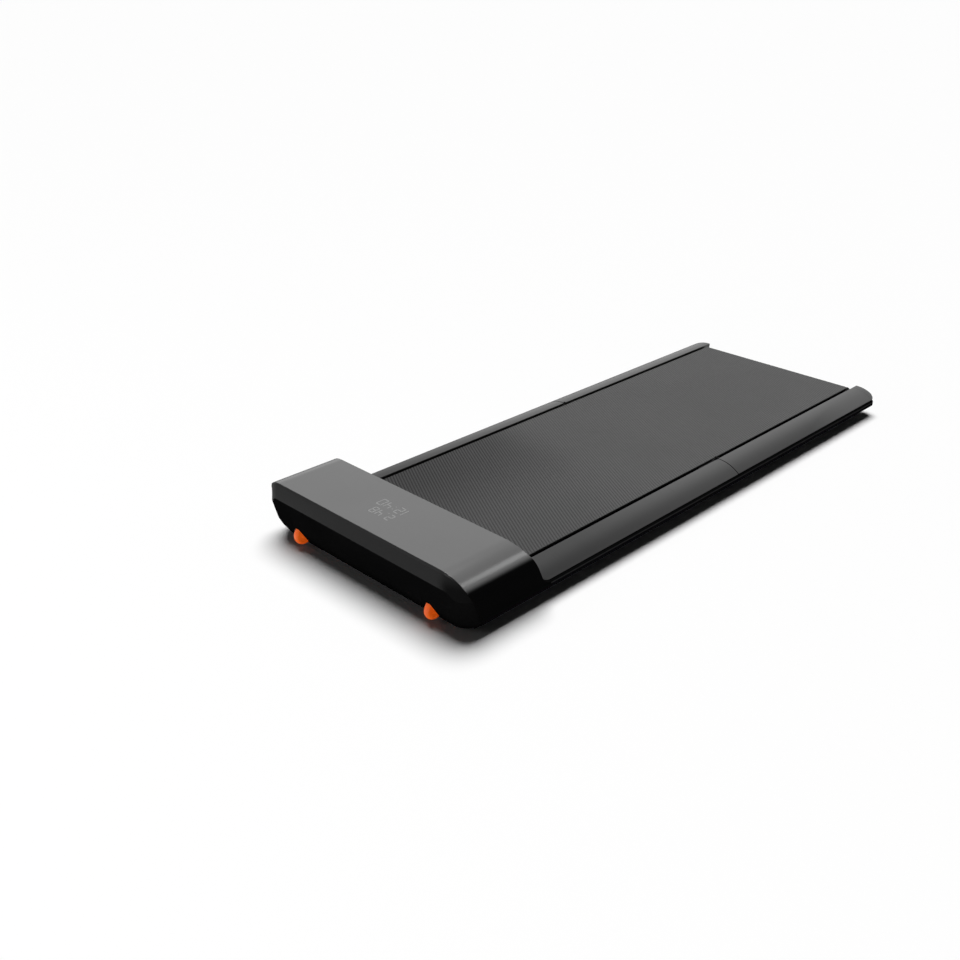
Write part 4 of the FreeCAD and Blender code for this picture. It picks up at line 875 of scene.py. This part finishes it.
# The head's top in grey satin, its sides and outline black with painted shade
head_satin_painted_shade = painted_light_satin(
    "head_satin_painted_shade",
    colour=grey(0.109),
    paler=grey(0.117),
    shaded_side_colour=PAINTED_SHADE_BLACK,
    fade=(0.2624, 0.2682, 0.0),
    gloss=1.0,
    coat_roughness=0.20,
    rim=(0.66, 0.94),
    is_rail=False,
)
# The rails, with painted shade on their sides, painted shadow in the gaps and a painted sheen
rail_satin_painted_light = painted_light_satin(
    "rail_satin_painted_light",
    colour=grey(0.042),
    paler=grey(0.048),
    shaded_side_colour=grey(0.030),
    fade=(0.228, 0.268, 0.60),
    gloss=0.85,
    coat_roughness=0.30,
    rim=(0.82, 1.0),
    is_rail=True,
)
nose_black_painted_band = nose_finish()
inner_black = black_moulding(
    "inner_black", (0.0040, 0.0040, 0.0041), paler=(0.0060, 0.0060, 0.0061),
    specular=0.05, grain_scale=900.0, strength=0.15,
)[0]
pan_black_painted_highlight = pan_finish()
tread_rubber = tread_finish()
foot_rubber = soft_rubber_finish("foot_rubber", grey(0.004), grey(0.007), sole=grey(0.075))
drive_rubber = soft_rubber_finish("drive_rubber", grey(0.008), grey(0.016), sole=grey(0.012))
wheel_orange = wheel_finish()
bright_steel = metal_finish(
    "bright_steel", grey(0.20), stained=(0.14, 0.14, 0.135),
    roughness=0.34, line_scale=(60.0, 900.0, 900.0), strength=0.15,
)
screw_steel = metal_finish(
    "screw_steel", (0.016, 0.016, 0.017), stained=grey(0.010),
    roughness=0.45, line_scale=(900.0, 90.0, 900.0), strength=0.2,
)
hinge_steel = coated_steel_finish("hinge_steel", grey(0.010), grey(0.014), specular=0.02)
rotor_iron = metal_finish(
    "rotor_iron", (0.30, 0.29, 0.28), stained=(0.22, 0.20, 0.18),
    roughness=0.40, line_scale=(1400.0, 80.0, 80.0), strength=0.3,
)
light_alloy = metal_finish(
    "light_alloy", (0.72, 0.72, 0.73), stained=grey(0.60),
    roughness=0.36, line_scale=(80.0, 700.0, 700.0), strength=0.2,
)
frame_steel = coated_steel_finish("frame_steel", grey(0.010), grey(0.018), specular=0.3)
motor_can = coated_steel_finish("motor_can", (0.030, 0.030, 0.031), (0.045, 0.045, 0.046), specular=0.3)
deck_board = deck_finish()
circuit_board = circuit_finish()
diffuser = diffuser_finish()
lit_digits = digit_finish()

FINISH_OF_SLOT = {
    "satin_cover": rail_satin_painted_light,
    "black_plastic": inner_black,
    "frame_steel": frame_steel,
    "bright_steel": bright_steel,
    "hinge_steel": hinge_steel,
    "motor_can": motor_can,
    "rotor_iron": rotor_iron,
    "light_alloy": light_alloy,
    "deck_wood": deck_board,
    "tread_rubber": tread_rubber,
    "drive_rubber": drive_rubber,
    "soft_rubber": foot_rubber,
    "wheel_orange": wheel_orange,
    "circuit_board": circuit_board,
    "diffuser": diffuser,
}
# Painted shade: pins and rollers that show in the gaps are made dark
PAINTED_SHADE_NODES = ("hinge_pins", "front_roller", "rear_roller")


def finish_solids():
    """Gives every solid the finish of its slot, and the dark hinge steel, as painted shade, to a few that
    show in the gaps.
    """
    for entry in frame["record"]["subparts"]:
        node = entry["node"]
        finish = hinge_steel if node in PAINTED_SHADE_NODES else FINISH_OF_SLOT[entry["material_slot"]]
        nodes[node].data.materials.clear()
        nodes[node].data.materials.append(finish)


# Shells with eased edges, feet and screws

COVER_EDGE = 0.9 * MM
NOSE_EDGE = 1.2 * MM
RAIL_EDGE = 1.1 * MM
HOUSING_EDGE = 0.7 * MM
CAP_EDGE = 0.8 * MM
PAN_EDGE = 1.0 * MM
ROCKER_EDGE = 0.5 * MM
FOOT_RIMS = (("bar", 2.4 * MM), ("round", 3.6 * MM))
FOOT_DISH = 0.7 * MM
FOOT_CROWN = 0.2
PAN_UNDERSIDE = 10.0 * MM
SCREW_X = 244.5 * MM
SCREW_HEAD = 4.5 * MM
SCREW_HEAD_Z = 8.4 * MM
SCREW_SHANK = 2.0 * MM
SCREW_LENGTH = 5.0 * MM
SCREW_ROUND = 0.8 * MM
SCREW_CROSS = Vector((5.6, 1.0, 1.8)) * MM
SCREW_TURNS = (37, 61)
FRONT_SCREWS_Y = (-0.460, -0.280, -0.100, 0.060)
REAR_SCREWS_Y = (0.150, 0.330, 0.510, 0.650)


def dished_feet(node, rim):
    """A pair of feet, each with a shallow dish in its sole inside a rim."""
    piece = open_copy(node, "dished")
    pick(piece, "FACE", lambda middle, normal: middle.z < NEAR and normal.z < -FACING)
    bpy.ops.mesh.inset(thickness=rim, depth=0.0)
    bpy.ops.mesh.inset(thickness=FOOT_DISH, depth=-FOOT_DISH)
    bpy.ops.mesh.inset(thickness=FOOT_DISH, depth=-FOOT_CROWN * FOOT_DISH)
    close_edit()
    smooth_shell(piece)
    return piece


def pan_screw():
    """One pan screw with a rounded head and a cross recess, drawn once on the Z axis at its own height."""
    lay_down_tools()
    bpy.ops.mesh.primitive_cylinder_add(
        vertices=32,
        radius=SCREW_HEAD,
        depth=PAN_UNDERSIDE - SCREW_HEAD_Z,
        end_fill_type="NGON",
        location=(0.0, 0.0, (SCREW_HEAD_Z + PAN_UNDERSIDE) / 2),
    )
    screw = bpy.context.object
    apply_place(screw)
    open_edit(screw)
    pick(screw, "FACE", lambda middle, normal: normal.z > FACING)
    bpy.ops.mesh.inset(thickness=SCREW_HEAD - SCREW_SHANK, depth=0.0)
    extrude(0.0, 0.0, SCREW_LENGTH)
    pick(screw, "EDGE", lambda middle, run: middle.z < SCREW_HEAD_Z + NEAR and abs(run.z) < NEAR)
    bpy.ops.mesh.bevel(offset=SCREW_ROUND, segments=3)
    close_edit()
    for turn in (0.0, math.pi / 2):
        lay_down_tools()
        place = (0.0, 0.0, SCREW_HEAD_Z)
        bpy.ops.mesh.primitive_cube_add(size=1.0, location=place, rotation=(0.0, 0.0, turn))
        cutter = bpy.context.object
        cutter.scale = SCREW_CROSS
        apply_place(cutter)
        apply_modifier(screw, "BOOLEAN", operation="DIFFERENCE", object=cutter, solver="EXACT")
        bpy.data.objects.remove(cutter)
    smooth(screw)
    return screw


def pan_screws():
    """The screws that hold each pan, their recesses turned as they were driven."""
    pattern = pan_screw()
    for half, places in (("front", FRONT_SCREWS_Y), ("rear", REAR_SCREWS_Y)):
        screws = []
        for row, y in enumerate(places):
            for column, x in enumerate((-SCREW_X, SCREW_X)):
                screw = copy_of(pattern, "screw")
                turn = math.radians(SCREW_TURNS[0] * row + SCREW_TURNS[1] * column)
                screw.data.transform(Matrix.Translation((x, y, 0.0)) @ Matrix.Rotation(turn, 4, "Z"))
                screws.append(screw)
        piece = joined(screws, f"{half}_pan_screw_set")
        finish_piece(piece, f"{half}_deck", screw_steel, "bright_steel", f"{half}_pan_screws")
    bpy.data.objects.remove(pattern)


def dress_shells():
    """The outer shells, with the small edge rounds that moulded and bent parts have."""
    ease("head_cover", "front_deck", head_satin_painted_shade, "satin_cover", COVER_EDGE)
    ease("front_fascia", "front_deck", nose_black_painted_band, "black_plastic", NOSE_EDGE, segments=3)
    for side in ("right", "left"):
        for half in ("front", "rear"):
            ease(f"{half}_rail_{side}", f"{half}_deck", rail_satin_painted_light, "satin_cover", RAIL_EDGE, segments=3)
        ease(f"wheel_housing_{side}", "front_deck", nose_black_painted_band, "black_plastic", HOUSING_EDGE)
    ease("rail_end_caps", "rear_deck", rail_satin_painted_light, "satin_cover", CAP_EDGE)
    for half in ("front", "rear"):
        ease(f"{half}_pan", f"{half}_deck", pan_black_painted_highlight, "black_plastic", PAN_EDGE)
        for kind, rim in FOOT_RIMS:
            feet = f"{half}_{kind}_feet"
            finish_piece(dished_feet(feet, rim), f"{half}_deck", foot_rubber, "soft_rubber", feet)
    ease("switch_rocker", "switch_rocker", nose_black_painted_band, "black_plastic", ROCKER_EDGE)


# Transport wheels

WHEEL_PLACE = Vector((0.181, -0.693, 0.030))
WHEEL_RADIUS = 20.5 * MM
WHEEL_WIDTH = 12.0 * MM
WHEEL_ROUND = 5.0 * MM
WHEEL_RIM = 1.6 * MM
WHEEL_DISH = 1.4 * MM
WHEEL_DRAFT = 0.3 * WHEEL_DISH
WHEEL_HUB = 6.9 * MM
WHEEL_BORE = 3.3 * MM
WHEEL_FLOOR = WHEEL_RADIUS - WHEEL_ROUND - WHEEL_RIM - 2 * WHEEL_DRAFT - WHEEL_HUB


def transport_wheel():
    """One wheel about the X axis at the origin: round tread, dished faces, hub and bore."""
    lay_down_tools()
    bpy.ops.mesh.primitive_cylinder_add(
        vertices=72,
        radius=WHEEL_RADIUS,
        depth=WHEEL_WIDTH,
        end_fill_type="NGON",
        rotation=(0.0, math.pi / 2, 0.0),
    )
    wheel = bpy.context.object
    apply_place(wheel)
    open_edit(wheel)
    pick(wheel, "EDGE", lambda middle, run: abs(run.x) < NEAR)
    bpy.ops.mesh.bevel(offset=WHEEL_ROUND, segments=6)
    pick(wheel, "FACE", lambda middle, normal: abs(normal.x) > FACING)
    bpy.ops.mesh.inset(thickness=WHEEL_RIM, depth=0.0)
    bpy.ops.mesh.inset(thickness=WHEEL_DRAFT, depth=-WHEEL_DISH)
    bpy.ops.mesh.inset(thickness=WHEEL_FLOOR, depth=0.0)
    bpy.ops.mesh.inset(thickness=WHEEL_DRAFT, depth=WHEEL_DISH)
    bpy.ops.mesh.inset(thickness=WHEEL_HUB - WHEEL_BORE, depth=0.0)
    bpy.ops.mesh.delete(type="FACE")
    bpy.ops.mesh.select_mode(type="EDGE")
    bpy.ops.mesh.select_non_manifold(extend=False)
    bpy.ops.mesh.bridge_edge_loops()
    face_outwards()
    close_edit()
    smooth(wheel)
    return wheel


def transport_wheels():
    """The two wheels in the nose."""
    pattern = transport_wheel()
    for side, sign in (("right", 1.0), ("left", -1.0)):
        wheel = copy_of(pattern, f"wheel_{side}_moulded")
        wheel.data.transform(Matrix.Translation((sign * WHEEL_PLACE.x, WHEEL_PLACE.y, WHEEL_PLACE.z)))
        finish_piece(wheel, f"wheel_{side}", wheel_orange, "wheel_orange", f"wheel_{side}")
    bpy.data.objects.remove(pattern)


# The tread belt

RIB_PITCH = 7.19 * MM
RIB_SLOPE = math.tan(math.radians(30))
GROOVE_DEPTH = 0.7 * MM
GROOVE_WIDTH = 0.46 * RIB_PITCH
GROOVE_STEPS = ((0.3, -GROOVE_DEPTH), (0.4, 0.0), (0.3, GROOVE_DEPTH))
BELT_COLUMNS = 56
BELT_SMOOTH = 70
UPPER_BEND = 5.0 * MM
LOWER_BEND = 28.0 * MM


def ribbed_strip(name, ribs):
    """A flat run of belt: one ridge and groove, drawn once and repeated along the run."""
    lay_down_tools()
    bpy.ops.mesh.primitive_grid_add(x_subdivisions=BELT_COLUMNS, y_subdivisions=1, size=2 * BELT_HALF)
    strip = bpy.context.object
    strip.name = name
    strip.data.name = name
    open_edit(strip, "VERT")
    pick(strip, "VERT", lambda place, normal: place.y < 0)
    bpy.ops.transform.translate(value=(0.0, BELT_HALF, 0.0))
    pick(strip, "VERT", lambda place, normal: place.y > NEAR)
    bpy.ops.transform.translate(value=(0.0, RIB_PITCH - GROOVE_WIDTH - BELT_HALF, 0.0))
    for share, drop in GROOVE_STEPS:
        extrude(0.0, share * GROOVE_WIDTH, drop)
    close_edit()
    apply_modifier(
        strip,
        "ARRAY",
        count=ribs,
        use_relative_offset=False,
        use_constant_offset=True,
        constant_offset_displace=(0.0, RIB_PITCH, 0.0),
        use_merge_vertices=True,
        merge_threshold=NEAR,
    )
    return strip


def note_ridges(strip):
    """Notes on each point how near it is to a ridge's top, for the finish."""
    ridge = strip.data.attributes.new("ridge", "FLOAT", "POINT")
    for vertex in strip.data.vertices:
        ridge.data[vertex.index].value = 1.0 + vertex.co.z / GROOVE_DEPTH


def trim_run(strip, low, high):
    """Slants the ribs and cuts the strip square at both ends."""
    for vertex in strip.data.vertices:
        vertex.co.y -= vertex.co.x * RIB_SLOPE
    open_edit(strip, "VERT")
    for limit, side in ((low, -1.0), (high, 1.0)):
        select_all()
        bpy.ops.mesh.bisect(plane_co=(0.0, limit, 0.0), plane_no=(0.0, side, 0.0), clear_outer=True)
    close_edit()


def at_back_side(middle, _):
    """Whether an edge lies along one side of a run's back."""
    return middle.z < NEAR - BELT_THICK and abs(abs(middle.x) - BELT_HALF) < NEAR


def give_thickness(strip):
    """Turns the edges of a flat run down by the belt's thickness and closes its back."""
    open_edit(strip, "EDGE")
    bpy.ops.mesh.select_non_manifold(
        extend=False, use_wire=False, use_multi_face=False, use_non_contiguous=False,
    )
    extrude(0.0, 0.0, -BELT_THICK)
    bpy.ops.transform.resize(value=(1.0, 1.0, 0.0), center_override=(0.0, 0.0, -BELT_THICK))
    pick(strip, "EDGE", at_back_side)
    bpy.ops.mesh.bridge_edge_loops()
    face_outwards()
    close_edit()


def flat_run(name, low, high):
    """A flat run of ribbed belt between two distances along it, measured from the front roller's top."""
    shift = BELT_HALF * RIB_SLOPE
    ribs = math.ceil((high - low + 2 * shift) / RIB_PITCH) + 1
    strip = ribbed_strip(name, ribs)
    note_ridges(strip)
    for vertex in strip.data.vertices:
        vertex.co.y += low - shift
    trim_run(strip, low, high)
    give_thickness(strip)
    return strip


def round_the_rollers(run, rise):
    """The Y and Z of a point on the loop, by its distance along the upper run and its rise over the face."""
    radius = BELT_TURN + rise
    if run < 0:
        turn = -run / BELT_TURN
        return FRONT_ROLLER_Y - radius * math.sin(turn), ROLLER_Z + radius * math.cos(turn)
    if run > BELT_RUN:
        turn = (run - BELT_RUN) / BELT_TURN
        return REAR_ROLLER_Y + radius * math.sin(turn), ROLLER_Z + radius * math.cos(turn)
    return FRONT_ROLLER_Y + run, BELT_TOP + rise


def tread_belt():
    """The belt: the upper run with both turns, and the lower run."""
    half_turn = math.pi * BELT_TURN
    upper = flat_run("tread_belt_upper", -half_turn, BELT_RUN + half_turn)
    for vertex in upper.data.vertices:
        y, z = round_the_rollers(vertex.co.y, vertex.co.z)
        vertex.co = (BELT_MIDDLE + vertex.co.x, y, z)
    lower = flat_run("tread_belt_lower", 0.0, BELT_RUN)
    for vertex in lower.data.vertices:
        x, y, z = vertex.co
        vertex.co = (BELT_MIDDLE - x, FRONT_ROLLER_Y + y, ROLLER_Z - BELT_TURN - z)
    for strip, reach in ((upper, UPPER_BEND), (lower, LOWER_BEND)):
        smooth(strip, BELT_SMOOTH)
        strip.data.materials.append(tread_rubber)
        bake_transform(strip)
    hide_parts("tread_belt_front", "tread_belt_rear")


# Power entry in the left-hand wall

BLADE_FRONT = Vector((-0.2657, -0.640, 0.050))
BLADE_PLACES = ((-7.0 * MM, -1.5 * MM), (0.0, 3.0 * MM), (7.0 * MM, -1.5 * MM))
BLADE_SIZE = Vector((11.0, 2.2, 5.2)) * MM
BLADE_ROUND = 0.8 * MM
ROCKER_PIVOT = Vector((-0.267, -0.590, 0.050))
ROCKER_REST_TILT = math.radians(-10)
MARK_DEPTH = 3.98 * MM
MARK_REACH = 6.7 * MM
MARK_PROUD = 0.25 * MM
BAR_WIDTH = 0.8 * MM
BAR_HEIGHT = 4.4 * MM
BAR_ROUND = 0.15 * MM
RING_RADIUS = 2.1 * MM
RING_WIDTH = 0.7 * MM


def inlet_blades():
    """The inlet's three metal blades with rounded tips, sleeved over the solid ones."""
    lay_down_tools()
    bpy.ops.mesh.primitive_cube_add(size=1.0, location=(BLADE_SIZE.x / 2, 0.0, 0.0))
    blade = bpy.context.object
    blade.scale = BLADE_SIZE
    apply_place(blade)
    open_edit(blade)
    pick(blade, "EDGE", lambda middle, run: middle.x < NEAR)
    bpy.ops.mesh.bevel(offset=BLADE_ROUND, segments=3)
    close_edit()
    blades = []
    for shift_y, shift_z in BLADE_PLACES:
        copy = copy_of(blade, "blade")
        copy.data.transform(Matrix.Translation(BLADE_FRONT + Vector((0.0, shift_y, shift_z))))
        blades.append(copy)
    bpy.data.objects.remove(blade)
    piece = joined(blades, "inlet_blades")
    smooth(piece)
    finish_piece(piece, "front_deck", light_alloy, "light_alloy")


def rocker_marks():
    """The bar and the ring moulded on the rocker, for on and off."""
    lay_down_tools()
    bpy.ops.mesh.primitive_cube_add(size=1.0, location=(-MARK_DEPTH, -MARK_REACH, 0.0))
    bar = bpy.context.object
    bar.scale = (2 * MARK_PROUD, BAR_WIDTH, BAR_HEIGHT)
    apply_place(bar)
    open_edit(bar)
    pick(bar, "EDGE", lambda middle, run: middle.x < -MARK_DEPTH - MARK_PROUD / 2)
    bpy.ops.mesh.bevel(offset=BAR_ROUND, segments=2)
    close_edit()
    lay_down_tools()
    bpy.ops.mesh.primitive_circle_add(
        vertices=40,
        radius=RING_RADIUS,
        fill_type="NGON",
        location=(MARK_PROUD - MARK_DEPTH, MARK_REACH, 0.0),
        rotation=(0.0, -math.pi / 2, 0.0),
    )
    ring = bpy.context.object
    apply_place(ring)
    open_edit(ring)
    select_all()
    bpy.ops.mesh.inset(thickness=RING_WIDTH, depth=0.0)
    bpy.ops.mesh.delete(type="FACE")
    select_all()
    extrude(-2 * MARK_PROUD, 0.0, 0.0)
    face_outwards()
    close_edit()
    marks = joined([bar, ring], "rocker_marks")
    marks.data.transform(Matrix.Translation(ROCKER_PIVOT) @ Matrix.Rotation(ROCKER_REST_TILT, 4, "Z"))
    smooth(marks)
    finish_piece(marks, "switch_rocker", diffuser, "diffuser")


# The display's digits: each bar's place in a digit and whether it stands upright

SEGMENTS_OF = {"0": "abcdef", "1": "bc", "2": "abged", "4": "fgbc", "8": "abcdefg"}
SEGMENT_PLACES = {
    "a": (0.0, 1.0, False), "b": (1.0, 0.5, True), "c": (1.0, -0.5, True), "d": (0.0, -1.0, False),
    "e": (-1.0, -0.5, True), "f": (-1.0, 0.5, True), "g": (0.0, 0.0, False),
}
POINT_LIFTS = {".": (-1.0,), ":": (0.45, -0.45)}
STROKE = 2.7 * MM
STROKE_LIFT = 0.12 * MM
POINT_LENGTH = 1.2 * STROKE
DIGIT_SHARE = 0.54
DIGIT_STEP = 0.88
POINT_STEP = 0.46
DISPLAY_X = 4.0 * MM
DISPLAY_ROWS = (("2.48", -0.6525, 19 * MM), ("12:40", -0.6225, 21 * MM))


def segment_bar(length):
    """One pointed bar of a digit, lying along Y."""
    lay_down_tools()
    bpy.ops.mesh.primitive_circle_add(vertices=6, radius=STROKE / 2, fill_type="NGON")
    bar = bpy.context.object
    reach = (length - STROKE) / 2
    open_edit(bar, "VERT")
    pick(bar, "VERT", lambda place, normal: place.y > NEAR)
    bpy.ops.transform.translate(value=(0.0, reach, 0.0))
    pick(bar, "VERT", lambda place, normal: place.y < -NEAR)
    bpy.ops.transform.translate(value=(0.0, -reach, 0.0))
    select_all()
    extrude(0.0, 0.0, STROKE_LIFT)
    face_outwards()
    close_edit()
    return bar


def display_row(text, row_y, height):
    """The bars and points of one row of digits; they read from the belt, so up is the front."""
    upright_bar = segment_bar(height / 2)
    level_bar = segment_bar(height * DIGIT_SHARE)
    point = segment_bar(POINT_LENGTH)
    steps = [POINT_STEP if mark in POINT_LIFTS else DIGIT_STEP for mark in text]
    across = DISPLAY_X + sum(steps) * height / 2
    strokes = []
    for mark, step in zip(text, steps):
        across -= step * height / 2
        if mark in POINT_LIFTS:
            placed = [(point, 0.0, lift, True) for lift in POINT_LIFTS[mark]]
        else:
            places = [SEGMENT_PLACES[name] for name in SEGMENTS_OF[mark]]
            placed = [(upright_bar if place[2] else level_bar, *place) for place in places]
        for bar, side, lift, upright in placed:
            stroke = copy_of(bar, "stroke")
            if not upright:
                stroke.data.transform(Matrix.Rotation(math.pi / 2, 4, "Z"))
            x = across - side * height * DIGIT_SHARE / 2
            stroke.data.transform(Matrix.Translation((x, row_y - lift * height / 2, HEAD_TOP)))
            strokes.append(stroke)
        across -= step * height / 2
    for bar in (upright_bar, level_bar, point):
        bpy.data.objects.remove(bar)
    return strokes


def display_digits():
    """Two rows of plain digits in the head's top."""
    strokes = []
    for row in DISPLAY_ROWS:
        strokes += display_row(*row)
    finish_piece(joined(strokes, "display_digits"), "front_deck", lit_digits, "diffuser")


add_camera()
add_key_lamp()
add_strip_lamp()
add_front_lamp()
set_world()
add_floor()
finish_solids()
dress_shells()
pan_screws()
transport_wheels()
inlet_blades()
rocker_marks()
tread_belt()
display_digits()

scene.view_settings.view_transform = "Standard"
